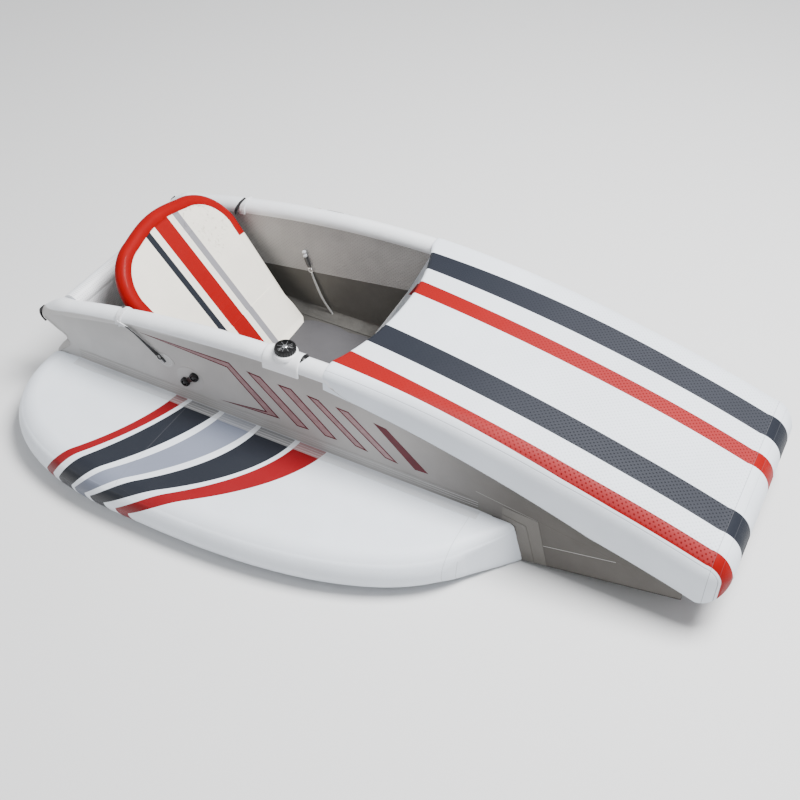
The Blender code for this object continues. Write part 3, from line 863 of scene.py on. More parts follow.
# The floor seam strip's dark colour is painted shade of the gap between the mat and the inner wall
FLOOR_SEAM_SHADE_FINISH = make_plain_finish("dark seam fabric with painted shade", BAND_BROWN, 0.50, tone=(0.75, 1.1, 12.0),
                                  puckers=(30.0, 0.004), weave=None, coat=0.0, uneven=0.06)
STERN_FINISH = make_stern_finish()
SEAT_FINISH = make_seat_finish()
SEAT_BACK_FINISH = make_plain_finish("seat back fabric", (0.60, 0.58, 0.54), 0.50)
TAPE_FINISH = make_plain_finish("red edge tape", RED, 0.46, tone=(0.90, 1.0, 12.0), puckers=(20.0, 0.0010),
                                coat=0.03, shine=0.06, uneven=0.04)
MAT_FINISH = make_mat_finish()
BOTTOM_FINISH = make_plain_finish("bottom fabric", (0.085, 0.081, 0.075), 0.55, tone=(0.80, 1.0, 9.0),
                                  puckers=(14.0, 0.0015), weave=(0.0024, 0.00012), coat=0.0, uneven=0.08)
PATCH_FINISH = make_plain_finish("wall patch fabric", PANEL_GREY, 0.45, puckers=(12.0, 0.0030))
# A darker copy of the patch fabric: painted shade, as on the wall under the deck's overhang
SHADED_BOW_PATCH_FINISH = make_plain_finish("bow patch fabric with painted shade", (0.135, 0.126, 0.114), 0.50, puckers=(12.0, 0.0016))
WEBBING_FINISH = make_webbing_finish("black webbing", (0.012, 0.012, 0.014))
LOOP_FINISH = make_webbing_finish("white webbing", (0.76, 0.77, 0.79))
CORD_FINISH = make_webbing_finish("grey cord", (0.44, 0.44, 0.43))
BLACK_FINISH = make_plastic_finish("black plastic", BLACK, 0.38)
CLIP_FINISH = make_plastic_finish("dark grey plastic", (0.050, 0.050, 0.052), 0.45)
SLEEVE_FINISH = make_plain_finish("valve sleeve fabric", (0.84, 0.85, 0.87), 0.26, puckers=(12.0, 0.0008))
METAL_FINISH = make_metal_finish()
LINE_FINISH = make_plastic_finish("mark outline", GRAPHIC_LINE, 0.50, 0.0)
FILL_FINISH = make_plastic_finish("mark fill", GRAPHIC_FILL, 0.55, 0.0)


# Deck

def deck_section(radius, half_width, depth, side_steps, flat_steps):
    """Half-width and depth below the top of each point round the deck's section."""
    flat = half_width - radius
    across = spread(-flat, flat, flat_steps)
    right = []
    for step in range(1, side_steps + 1):
        angle = math.pi / 2 * (1 - step / side_steps)
        right.append((flat + radius * math.cos(angle), radius * (1 - math.sin(angle))))
    lower = [(half_width, depth)] + [(y, depth) for y in reversed(across)] + [(-half_width, depth)]
    left = [(-y, down) for y, down in reversed(right)]
    return [(y, 0.0) for y in across] + right + lower + left


def make_deck():
    """The foredeck as one smooth skin, with its rounded aft edge and nose."""
    nose_start = HALF_LENGTH - DECK_NOSE_RADIUS
    body_length = nose_start - DECK_AFT_END
    edge_steps, nose_steps, body_steps = 6, 14, 120
    side_steps, flat_steps = 12, 48
    # Over the rims the aft edge is sharper than over the cockpit
    rim_start, rim_blend, rim_sharpness = 0.28, 0.05, 0.65
    last_turn = math.radians(84)
    rings = []

    def ring(along, top_drop, bottom_lift, width_loss, nose_x=None):
        reference = DECK_AFT_END + body_length * along
        radius, section_depth = deck_side_radius(reference), deck_depth(reference)
        section = deck_section(radius, HULL_HALF_WIDTH, section_depth, side_steps, flat_steps)
        squeeze = (HULL_HALF_WIDTH - width_loss) / HULL_HALF_WIDTH
        points = []
        for y, down in section:
            x = deck_aft_edge(y) * (1 - along) + nose_start * along
            over_rim = max(0.0, min(1.0, (abs(y) - rim_start) / rim_blend)) if nose_x is None else 0.0
            drop_here = top_drop * (1 - rim_sharpness * over_rim)
            drop = drop_here + (deck_depth(x) - drop_here - bottom_lift) * down / section_depth
            points.append(Vector((nose_x or x, y * squeeze, deck_top(x) - drop)))
        rings.append(points)

    for step in range(edge_steps):
        angle = math.pi / 2 * step / edge_steps
        along = DECK_EDGE_RADIUS * (1 - math.cos(angle)) / body_length
        ring(along, DECK_EDGE_RADIUS * (1 - math.sin(angle)), 0.0, 0.0)
    for station in spread(DECK_AFT_END + DECK_EDGE_RADIUS, nose_start, body_steps):
        ring((station - DECK_AFT_END) / body_length, 0.0, 0.0, 0.0)
    for angle in quarter_turn(nose_steps + 1)[1:]:
        shrink = 1 - math.cos(min(angle, last_turn))
        lift = deck_depth(nose_start) / 2 * shrink
        ring(1.0, lift, lift, DECK_CORNER_RADIUS * shrink, nose_start + DECK_NOSE_RADIUS * math.sin(angle))
    piece = finish_piece("deck_shell", skin_rings(rings), [DECK_FINISH])
    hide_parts("foredeck")


# Side walls

def wall_outline():
    """Side view of one wall, with the room for its rounded edge at each corner."""
    full = 0.058
    points = [((-1.085, 0.0), 0.0), ((-1.112, 0.060), 0.006), ((-1.112, 0.125), 0.008)]
    hook = smooth_path([(-1.112, 0.125, 0), (-1.085, 0.158, 0), (-1.048, 0.186, 0), (-1.052, 0.202, 0),
                        (-1.095, 0.226, 0)], 4)
    points += [((p.x, p.y), 0.014 if p.y < 0.20 else 0.026) for p in hook[1:-1]]
    for angle in spread(math.radians(250), math.radians(125), 13):
        points.append(((STERN_TIP.x + STERN_TIP_RADIUS * math.cos(angle),
                        STERN_TIP.y + STERN_TIP_RADIUS * math.sin(angle)), 0.027))
    points += [((-1.088, 0.3245), 0.036), ((-1.052, 0.3445), 0.045)]
    # Past the cockpit the rim sinks under the deck
    rim_start, rim_bend, rim_end = -1.010, DECK_AFT_END + 0.025, DECK_AFT_END + 0.085
    under_deck = 0.001
    for x in spread(rim_start, rim_end, 80):
        sunk = max(0.0, (x - rim_bend) / (rim_end - rim_bend))
        top = rim_height(x) * (1 - sunk) + (deck_underside(x) + under_deck) * sunk
        points.append(((x, top), full * (1 - sunk)))
    for x in spread(rim_end + 0.015, BOTTOM_FRONT, 50):
        points.append(((x, deck_underside(x) + under_deck), 0.0))
    points.append(((BOTTOM_FRONT, bottom_height(BOTTOM_FRONT)), 0.0))
    points.append(((BOTTOM_RISE_START, 0.0), 0.0))
    return points


def make_wall(side_name, side):
    """One side wall with its rim, its outer panel and its inner face."""
    corners = wall_outline()
    outline = [Vector(point) for point, _ in corners]
    rooms = [room for _, room in corners]
    half = rim_curve(math.pi - math.asin(PANEL_HALF / RIM_RADIUS), 15)
    half += [(0.0440, PANEL_HALF), (0.0490, PANEL_HALF), (0.0580, PANEL_HALF)]
    profile = mirror_profile(half)
    foot_x, foot_top = -1.0, 0.215

    def place(point, height):
        return Vector((point.x, side * (WALL_MIDDLE + height), point.y))

    def pick(step, i, centre):
        near_flat = step < 3 or step >= len(profile) - 4
        foot = centre.x < foot_x and centre.z < foot_top
        if not near_flat and rooms[i] > 0 and not foot:
            return 0
        return 1 if abs(centre.y) > WALL_MIDDLE else 2

    bm = padded_board(outline, rooms, profile, place, pick)
    piece = finish_piece("wall_" + side_name, bm, [RIM_FINISH, WALL_FINISH, INNER_FINISH], 60.0)
    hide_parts("side_wall_" + side_name)


def plate(points, rise, side, inner=None):
    """A thin closed plate let into the outer wall, from X and Z corners; with an inner outline, a frame."""
    bm = bmesh.new()
    rings = []
    for outline in ([points] if inner is None else [points, inner]):
        for level in (WALL_FACE - PLATE_SINK, WALL_FACE + rise):
            rings.append([bm.verts.new((x, side * level, z)) for x, z in outline])
    if inner is None:
        pairs = [(rings[0], rings[1])]
        bm.faces.new(rings[0])
        bm.faces.new(rings[1])
    else:
        pairs = [(rings[0], rings[1]), (rings[1], rings[3]), (rings[3], rings[2]), (rings[2], rings[0])]
    count = len(points)
    for first, second in pairs:
        for i in range(count):
            j = (i + 1) % count
            bm.faces.new((first[i], first[j], second[j], second[i]))
    return bm


def oval(centre, reach, count):
    """Corners of an oval on the wall, as X and Z."""
    return [(centre.x + reach.x * math.cos(a), centre.y + reach.y * math.sin(a)) for a in full_turn(count)]


def make_mark(name, corners, side):
    """One printed mark on the outer wall: a pale filling with a dark red outline."""
    inner = inset_outline([Vector(corner) for corner in corners], [MARK_LINE] * len(corners), 0.1)
    finish_piece(name + "_fill", plate(inner, MARK_FILL_RISE, side), [FILL_FINISH])
    finish_piece(name + "_line", plate(corners, MARK_LINE_RISE, side, inner), [LINE_FINISH])


def make_wall_marks(side_name, side):
    """The speed marks on one outer wall."""
    make_mark("bolt_mark_" + side_name, BOLT_MARK, side)
    for number, corners in enumerate(OPEN_BARS, start=1):
        make_mark("bar_mark_%d_%s" % (number, side_name), corners, side)
    bm = plate(FILLED_BAR, MARK_LINE_RISE, side)
    finish_piece("bar_mark_5_" + side_name, bm, [LINE_FINISH])


def make_wing_patch(side_name, side):
    """The fabric patches on the wall round the wing's front end, dark with painted shade like the wall there.
    """
    layers = [("wing_patch_", WING_PATCH, 0.0009), ("wing_patch_top_", WING_PATCH_TOP, 0.0017)]
    for name, corners, rise in layers:
        finish_piece(name + side_name, plate(corners, rise, side), [SHADED_BOW_PATCH_FINISH])


def make_junction_tape(side_name, side, finish):
    """The see-through tape in the corner between wall and wing, as a thin angle of fabric."""
    aft, front = -1.040, 0.470
    up_wall, over_wing, bend = 0.042, 0.034, 0.004
    end_sink, end_length = 0.0018, 0.08
    wall_side = WALL_FACE + 0.0008
    top = WING_THICKNESS + 0.0010
    below = WING_THICKNESS - 0.001
    behind = WALL_FACE - 0.0006
    run = [(wall_side, WING_THICKNESS + up_wall), (wall_side, top + bend)]
    for angle in spread(math.pi, 1.5 * math.pi, 6)[1:-1]:
        run.append((wall_side + bend + bend * math.cos(angle), top + bend + bend * math.sin(angle)))
    run += [(wall_side + bend, top), (HULL_HALF_WIDTH + over_wing, top)]
    back = [(behind, run[0][1]), (behind, below), (run[-1][0], below)]
    section = run + back[::-1]
    rings = []
    for x in spread(aft, front, 90):
        sink = end_sink * max(0.0, 1 - min(x - aft, front - x) / end_length)
        rings.append([Vector((x, side * (y - sink), z - sink)) for y, z in section])
    finish_piece("junction_tape_" + side_name, skin_rings(rings), [finish], 30.0)


def make_stern_strip(side_name, side):
    """The black strip round the wall's stern tip."""
    half_width, off_middle = 0.011, 0.012
    section = [(0.0295, half_width), (0.0330, half_width * 0.9), (0.0335, 0.0), (0.0330, -half_width * 0.9),
               (0.0295, -half_width)]
    rings = []
    for angle in spread(math.radians(138), math.radians(243), 22):
        direction = Vector((math.cos(angle), math.sin(angle)))
        points = [(STERN_TIP + direction * reach, width) for reach, width in section]
        rings.append([Vector((p.x, side * (WALL_MIDDLE + off_middle + width), p.y)) for p, width in points])
    finish_piece("stern_strip_" + side_name, skin_rings(rings), [WEBBING_FINISH], 38.0)


# Wings

def wing_outline():
    """Plan of the port wing with each corner's edge radius and the lean of its edge."""
    root = HULL_HALF_WIDTH - 0.005
    reach = WING_HALF_SPAN - root
    aft_centre, aft_length, aft_power = -0.500, 0.634, 2.5
    front_centre, front_length, front_power = -0.440, 0.940, 2.3
    front_cut, sharpen_from = 0.903, 0.93
    face_end = (0.580, root)
    full, crisp = WING_THICKNESS / 2, 0.040
    lean_start, lean_gain = 0.014, 0.020
    points = []
    for angle in quarter_turn(40):
        points.append((aft_centre - aft_length * math.cos(angle) ** (2 / aft_power),
                       root + reach * math.sin(angle) ** (2 / aft_power), full, 0.0))
    for angle in quarter_turn(60)[1:]:
        along = front_cut * math.sin(angle)
        height = (1 - (along / front_length) ** front_power) ** (1 / front_power)
        sharpen = max(0.0, (along / front_cut - sharpen_from) / (1 - sharpen_from)) ** 1.5
        points.append((front_centre + along, root + reach * height, full + (crisp - full) * sharpen,
                       lean_start * sharpen))
    face_start = points[-1]
    for share in (0.15, 0.35, 0.60, 0.85, 1.0, 1.7):
        points.append((face_start[0] + share * (face_end[0] - face_start[0]),
                       face_start[1] + share * (face_end[1] - face_start[1]),
                       max(0.012, crisp - 0.036 * share), lean_start + lean_gain * share))
    points.append((aft_centre - aft_length, points[-1][1], full, 0.0))
    return points


def make_wing(side_name, side):
    """One wing: flat top and bottom, rounded side with its tape, and a flatter front end."""
    corners = wing_outline()
    outline = [Vector((x, y)) for x, y, _, _ in corners]
    half = WING_THICKNESS / 2
    tape_top = half * math.sin(math.radians(42))
    tape_rings, untaped_corners, flat_margin = 8, 8, 0.008
    levels = spread(0.0, tape_top, tape_rings) + [tape_top + 0.0005]
    levels += [half * math.sin(a) for a in spread(math.radians(47), math.pi / 2, 10)]
    levels = [-level for level in levels[:0:-1]] + levels
    middle = len(levels) // 2
    rings = []
    for level in levels:
        proud = TAPE_STEP if abs(level) <= tape_top + 1e-6 else 0.0
        insets = []
        for _, _, radius, lean in corners:
            beyond = max(0.0, abs(level) - (half - radius))
            insets.append(radius - math.sqrt(max(0.0, radius * radius - beyond * beyond)) - proud
                          + lean * (level + half) / (2 * half))
        rings.append([Vector((p.x, side * p.y, level + half)) for p in inset_outline(outline, insets)])
    for end in (0, -1):
        level = levels[end] + half
        insets = [radius + flat_margin + lean * level / (2 * half) for _, _, radius, lean in corners]
        ring = [Vector((p.x, side * p.y, level)) for p in inset_outline(outline, insets)]
        rings = [ring] + rings if end == 0 else rings + [ring]

    def pick(step, i, centre):
        taped = abs(step - middle - 0.5) <= tape_rings and i < len(corners) - untaped_corners
        return 1 if taped else 0

    bm = skin_rings(rings, pick=pick)
    geometry = bm.verts[:] + bm.edges[:] + bm.faces[:]
    bmesh.ops.bisect_plane(bm, geom=geometry, plane_co=(0, side * (HULL_HALF_WIDTH + 0.0002), 0),
                           plane_no=(0, -side, 0), clear_outer=True, dist=1e-6)
    rim = [edge for edge in bm.edges if edge.is_boundary]
    bmesh.ops.contextual_create(bm, geom=rim)
    top = make_wing_finish("wing fabric " + side_name, side)
    edge = make_wing_finish("wing edge tape " + side_name, side, edge=True)
    piece = finish_piece("wing_body_" + side_name, bm, [top, edge])
    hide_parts("wing_" + side_name)
    make_junction_tape(side_name, side, make_wing_finish("junction tape " + side_name, side, veil=0.42))


# Seat back

def seat_outline():
    """Front view of the seat back: Y across and height along the board from the hinge."""
    low = -SEAT_THICKNESS / 2
    foot_corner, side_start = 0.012, 0.050
    side_foot = SEAT_FOOT_HALF_WIDTH + 0.003
    centre_y = SEAT_HALF_WIDTH - SEAT_CORNER_RADIUS
    centre_s = SEAT_LENGTH - SEAT_CROWN - SEAT_CORNER_RADIUS
    right = []
    for s in spread(side_start, centre_s, 12)[:-1]:
        share = (s - side_start) / (centre_s - side_start)
        right.append((side_foot + (SEAT_HALF_WIDTH - side_foot) * share, s))
    for angle in spread(0.0, math.radians(82.0), 24):
        right.append((centre_y + SEAT_CORNER_RADIUS * math.cos(angle),
                      centre_s + SEAT_CORNER_RADIUS * math.sin(angle)))
    last_y, last_s = right[-1]
    for y in spread(last_y, 0.0, 9)[1:-1]:
        turn = (1 - y / last_y) * math.pi / 2
        right.append((y, last_s + (SEAT_LENGTH - last_s) * math.sin(turn)))
    foot = SEAT_FOOT_HALF_WIDTH - foot_corner
    left = [(-y, s) for y, s in reversed(right)]
    points = [(-foot, low), (foot, low)] + right + [(0.0, SEAT_LENGTH)] + left
    return [Vector(point) for point in points]


def make_seat():
    """The seat back with its red edge tape."""
    radius = SEAT_THICKNESS / 2
    half = [(radius - radius * math.cos(a), radius * math.sin(a)) for a in quarter_turn(8)]
    half += [(BAND_WIDTH - 0.0008, radius), (BAND_WIDTH, radius - TAPE_STEP),
             (BAND_WIDTH + 0.006, radius - TAPE_STEP)]
    profile = mirror_profile(half)
    outline = seat_outline()
    count = len(profile)

    def place(point, height):
        return seat_point(point.x, point.y, height)

    def pick(step, i, centre):
        local = centre - HINGE
        along = -local.x * math.sin(SEAT_LEAN) + local.z * math.cos(SEAT_LEAN)
        end = BAND_END_STARBOARD if local.y < 0 else BAND_END
        if 2 <= step < count - 3 and along > end:
            return 1
        return 0 if step > count // 2 - 3 else 2

    bm = padded_board(outline, [0.1] * len(outline), profile, place, pick)
    finishes = [SEAT_FINISH, TAPE_FINISH, SEAT_BACK_FINISH]
    piece = finish_piece("seat_pad", bm, finishes, body="seat")
    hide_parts("seat_back")


def make_seat_flap():
    """The cream flap that carries the seat's face on down to the mat."""
    out = SEAT_THICKNESS / 2 + 0.0004
    top, knee, turn_start = 0.110, -0.0470, 0.010
    top_half_width, foot_gain = 0.236, 0.0125
    half_thickness = 0.0011
    rings = []
    for across in spread(-1.0, 1.0, 41):
        upper, lower = [], []
        for s in spread(top, knee, 16):
            width = top_half_width + foot_gain * min(1.0, (top - s) / 0.100)
            upper.append(seat_point(across * width, s, out - 0.0001 + half_thickness))
            lower.append(seat_point(across * width, s, out - 0.0001 - half_thickness))
        last = upper[-1]
        # The foot of the flap lies forward on the mat in three short steps
        for step in (1, 2, 3):
            x = last.x + 0.007 * step * (1 - 0.25 * abs(across) ** 3)
            y = last.y * (1 - 0.03 * step)
            upper.append(Vector((x, y, MAT_TOP + 0.0018 - 0.0004 * step)))
            lower.append(Vector((x - 0.001, y, MAT_TOP + 0.0002)))
        rings.append(upper + lower[::-1])
    piece = finish_piece("seat_flap", skin_rings(rings), [SEAT_FINISH], body=None)
    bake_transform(piece)


# Cockpit floor

def make_mat():
    """The grey mat, with its soft uneven side edges."""
    taper, taper_length = 0.030, 0.10
    rings = []
    for x in spread(MAT_AFT, MAT_FRONT, 80):
        half = MAT_HALF_WIDTH + 0.004 * math.sin(x * 23.0) + 0.003 * math.sin(x * 61.0 + 1.0)
        half -= taper * max(0.0, 1 - (x - MAT_AFT) / taper_length) ** 2
        ring = [(-half, FLOOR_TOP), (half, FLOOR_TOP), (half + 0.0008, MAT_TOP - 0.003),
                (half - 0.002, MAT_TOP - 0.0004), (half - 0.005, MAT_TOP)]
        ring += [(-y, z) for y, z in reversed(ring[2:])]
        rings.append([Vector((x, y, z)) for y, z in ring])
    piece = finish_piece("cockpit_mat", skin_rings(rings), [MAT_FINISH], 40.0)
    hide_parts("floor_mat")


def make_floor_fillet(side_name, side):
    """The fabric that turns from the inner wall onto the floor; its dark colour is painted shade of the gap
    between the mat and the wall.
    """
    reach, rise = 0.046, 0.016
    rings = []
    for x in spread(-0.985, 0.500, 90):
        ripple = 0.0025 * math.sin(x * 47.0) + 0.0015 * math.sin(x * 103.0)
        upper, lower = [], []
        for angle in quarter_turn(9):
            y = INNER_FACE - reach * (1 - math.cos(angle)) ** 0.8
            z = FLOOR_TOP + 0.0012 + rise * (1 - math.sin(angle)) ** 1.4
            lift = ripple * math.sin(2 * angle)
            upper.append(Vector((x, side * (y - lift * 0.5), z + lift + 0.0010)))
            lower.append(Vector((x, side * (y + 0.0008), z - 0.0008)))
        rings.append(upper + lower[::-1])
    finish_piece("floor_seam_" + side_name, skin_rings(rings), [FLOOR_SEAM_SHADE_FINISH], 40.0)


# Stern board

def make_stern_board():
    """The stern board, whose rounded white top runs into both rims."""
    half_width = WALL_INNER + 0.012
    bottom = FLOOR_THICKNESS + 0.0003
    middle = TRANSOM_AFT + WALL_THICKNESS / 2
    white_from, rim_from = 0.29, 0.2
    outline = [(-half_width, bottom), (half_width, bottom), (half_width, TRANSOM_TOP),
               (-half_width, TRANSOM_TOP)]
    half = rim_curve(math.radians(112), 13) + [(0.0440, PANEL_HALF), (0.0580, PANEL_HALF)]
    rings = []
    for inset, height in mirror_profile(half):
        rings.append([Vector((middle + height, y, z - (inset if z > rim_from else 0.0))) for y, z in outline])
    count = len(rings)

    def pick(step, i, centre):
        return 0 if 2 <= step < count // 2 and centre.z > white_from else 1

    piece = finish_piece("stern_board", skin_rings(rings, pick=pick), [RIM_FINISH, STERN_FINISH])
    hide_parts("transom")


# Valve

def rim_band(x_start, x_end, side, skin, outer_drop, inner_drop, stations, around=28):
    """A soft-edged band that lies over the rim and down both faces of a wall."""
    soft = 0.004
    inner = RIM_RADIUS + 0.0001
    places = [x_start, x_start + 0.3 * soft, x_start + soft]
    places += spread(x_start + soft, x_end - soft, stations)[1:-1]
    places += [x_end - soft, x_end - 0.3 * soft, x_end]
    rings = []
    for x in places:
        from_end = min(1.0, min(x - x_start, x_end - x) / soft)
        outer = inner + skin * (0.25 + 0.75 * math.sqrt(1 - (1 - from_end) ** 2))
        tilt = math.sqrt(1 + (2 * RIM_CURVE * (x - RIM_CREST_X)) ** 2)
        centre = rim_height(x) - tilt * WALL_THICKNESS / 2
        over = [(outer * math.cos(a), tilt * outer * math.sin(a)) for a in spread(0.0, math.pi, around)]
        under = [(inner * math.cos(a), tilt * inner * math.sin(a)) for a in spread(math.pi, 0.0, around)]
        ring = [(outer - 0.0004, -outer_drop)] + over + [(-outer, -inner_drop), (-inner, -inner_drop)]
        ring += under + [(inner - 0.0024, -outer_drop)]
        rings.append([Vector((x, side * (WALL_MIDDLE + y), centre + z)) for y, z in ring])
    return skin_rings(rings)


def turned(profile, segments, place):
    """A turned shape from rings of (radius, height) and, where it is knurled, the knurls' depth."""
    rings = []
    for radius, height, *knurl in profile:
        ring = []
        for i, angle in enumerate(full_turn(segments)):
            reach = radius - (knurl[0] if knurl and i % 4 < 2 else 0.0)
            ring.append(place @ Vector((reach * math.cos(angle), reach * math.sin(angle), height)))
        rings.append(ring)
    return skin_rings(rings)


def make_valve():
    """The knurled cap with its spokes and bright centre, on its sleeve over the starboard rim."""
    sleeve = rim_band(SLEEVE_AFT, SLEEVE_FRONT, -1, SLEEVE_SKIN, 0.024, 0.012, 24, 36)
    piece = finish_piece("sleeve_collar", sleeve, [SLEEVE_FINISH])
    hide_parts("valve_sleeve")
    slope = math.atan(2 * RIM_CURVE * (VALVE_X - RIM_CREST_X))
    base = rim_height(VALVE_X) + SLEEVE_SKIN + 0.0004
    place = Matrix.Translation((VALVE_X, -WALL_MIDDLE, base)) @ Matrix.Rotation(slope, 4, "Y")
    boss = turned([(0.0375, -0.012), (0.0370, -0.002), (0.0345, 0.0008), (0.0300, 0.0014)], 64, place)
    finish_piece("valve_seat_ring", boss, [SLEEVE_FINISH])
    profile = [(0.0300, 0.0008), (0.0320, 0.0026, 0.0018), (0.0320, 0.0150, 0.0018), (0.0308, 0.0178, 0.0012),
               (0.0288, 0.0192), (0.0255, 0.0190), (0.0240, 0.0165), (0.0236, 0.0142), (0.0080, 0.0138)]
    cap = finish_piece("valve_cap", turned(profile, 96, place), [BLACK_FINISH], 32.0)
    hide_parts("valve")
    spokes, first_spoke = 8, 12
    low, shoulder, top = 0.0135, 0.0165, 0.0172
    for number in range(spokes):
        turn = Matrix.Rotation(math.radians(first_spoke + 360 / spokes * number), 4, "Z")
        rings = []
        for radius, half_width in ((0.0070, 0.0012), (0.0150, 0.0007), (0.0238, 0.0011)):
            ring = [(half_width, low), (half_width, shoulder), (half_width * 0.6, top)]
            ring += [(-y, z) for y, z in reversed(ring)]
            rings.append([place @ turn @ Vector((radius, y, z)) for y, z in ring])
        finish_piece("valve_spoke_%d" % (number + 1), skin_rings(rings), [METAL_FINISH],
                     30.0)
    centre = [(0.0085, 0.0136), (0.0085, 0.0175), (0.0070, 0.0190), (0.0035, 0.0196), (0.0012, 0.0198)]
    finish_piece("valve_centre", turned(centre, 32, place), [METAL_FINISH])
    make_slit_shade()


def make_slit_shade():
    """A black crescent under the sleeve's front lip, painted shade of the opening there."""
    centre = rim_height(SLEEVE_FRONT) - WALL_THICKNESS / 2
    front = SLEEVE_FRONT - 0.0015
    rings = []
    for share in spread(0.0, 1.0, 14):
        angle = math.radians(55 + 105 * share)
        swell = math.sin(math.pi * share)
        lip = [(-0.0010, 0.0), (0.0052, 0.0), (0.0052, 0.0014), (0.0008, 0.0020 + 0.0110 * swell)]
        ring = []
        for reach, forward in lip:
            radius = RIM_RADIUS + 0.0002 + reach * (0.4 + 0.6 * swell)
            ring.append(Vector((front + forward, -(WALL_MIDDLE + radius * math.cos(angle)),
                                centre + radius * math.sin(angle))))
        rings.append(ring)
    # Black plastic stands in for the shade inside the opening: painted shade
    finish_piece("sleeve_slit", skin_rings(rings), [BLACK_FINISH], 38.0)


# Straps and cords

def ribbon(path, width, thick, facing, turns=(0.0, 0.0)):
    """A flat band along a path; its width is a number or a function of the share along it, facing is
    the way its flat side looks, and turns its twist at each end."""
    rings = []
    count = len(path)
    corners = [(-1, -0.4), (-0.9, -1), (0.9, -1), (1, -0.4), (1, 0.4), (0.9, 1), (-0.9, 1), (-1, 0.4)]
    for i, point in enumerate(path):
        share = i / (count - 1)
        tangent = (path[min(i + 1, count - 1)] - path[max(i - 1, 0)]).normalized()
        across = tangent.cross(facing).normalized()
        across = Matrix.Rotation(turns[0] + (turns[1] - turns[0]) * share, 3, tangent) @ across
        over = across.cross(tangent)
        size = width(share) if callable(width) else width
        rings.append([point + across * (a * size / 2) + over * (b * thick / 2) for a, b in corners])
    return skin_rings(rings)


def on_wall(points, side, off):
    """Points in X and Z on the outer wall, a little off it, as a smooth path."""
    return smooth_path([(x, side * (WALL_FACE + off), z) for x, z in points], 8)


def make_wall_strap(side_name, side):
    """The loop over the rim, its drawn-out tail, the black strap, its hook and its patch."""
    facing = Vector((0.0, side, 0.0))
    low = LOOP_X - LOOP_WIDTH / 2
    loop = rim_band(low, low + LOOP_WIDTH, side, 0.0040, 0.004, 0.012, 6)
    piece = finish_piece("white_loop_" + side_name, loop, [LOOP_FINISH])
    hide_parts("rim_loop_" + side_name)
    bm = ribbon(on_wall(LOOP_TAIL_POINTS, side, 0.004), lambda share: 0.026 - 0.021 * share ** 0.7, 0.0035,
                facing)
    finish_piece("loop_tail_" + side_name, bm, [LOOP_FINISH])
    bm = ribbon(on_wall(STRAP_POINTS, side, 0.0062), lambda share: 0.0120 - 0.004 * math.sin(math.pi * share),
                0.0026, facing, (0.9, -0.5))
    piece = finish_piece("black_strap_" + side_name, bm, [WEBBING_FINISH])
    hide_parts("side_strap_" + side_name)
    hook_centre = Vector((HOOK_CENTRE[0], side * (WALL_FACE + 0.006), HOOK_CENTRE[1]))
    ring = [hook_centre + Vector((0.0075 * math.cos(a), 0.0, 0.0095 * math.sin(a))) for a in full_turn(12)]
    bm = tube_along(ring, 0.0019, 8, closed=True)
    finish_piece("strap_hook_" + side_name, bm, [BLACK_FINISH], 60.0)
    bm = ribbon(on_wall(HOOK_TONGUE_POINTS, side, 0.0035), 0.0085, 0.0026, facing)
    finish_piece("hook_tongue_" + side_name, bm, [BLACK_FINISH])
    patch = []
    for a in full_turn(16):
        squared = 0.92 + 0.08 * math.cos(4 * a)
        patch.append((ANCHOR_CENTRE.x + ANCHOR_REACH.x * math.cos(a) * squared,
                      ANCHOR_CENTRE.y + ANCHOR_REACH.y * math.sin(a)))
    piece = finish_piece("strap_patch_" + side_name, plate(patch, 0.0012, side), [PATCH_FINISH])
    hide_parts("strap_anchor_" + side_name)
    for number, scale in enumerate((0.50, 0.76), start=1):
        stitches = oval(ANCHOR_CENTRE, ANCHOR_REACH * scale, 32)
        ring = [Vector((x, side * (WALL_FACE + 0.0014), z)) for x, z in stitches]
        bm = tube_along(ring, 0.0007, 6, closed=True)
        finish_piece("strap_stitch_%d_%s" % (number, side_name), bm, [LOOP_FINISH], 60.0)


def make_strap_end(side_name, side):
    """The black strap end that climbs the rim's inner side to the loop."""
    run, radius = 0.030, RIM_RADIUS + 0.0042
    path = []
    for share in spread(0.0, 1.0, 16):
        x = LOOP_X - run * (1 - share)
        angle = math.radians(200 - 105 * share)
        centre = rim_height(x) - WALL_THICKNESS / 2
        path.append(Vector((x, side * (WALL_MIDDLE + radius * math.cos(angle)),
                            centre + radius * math.sin(angle))))
    bm = ribbon(path, lambda share: 0.014 - 0.005 * share, 0.0022, Vector((-0.25, -side * 0.9, 0.7)))
    finish_piece("strap_end_" + side_name, bm, [WEBBING_FINISH])


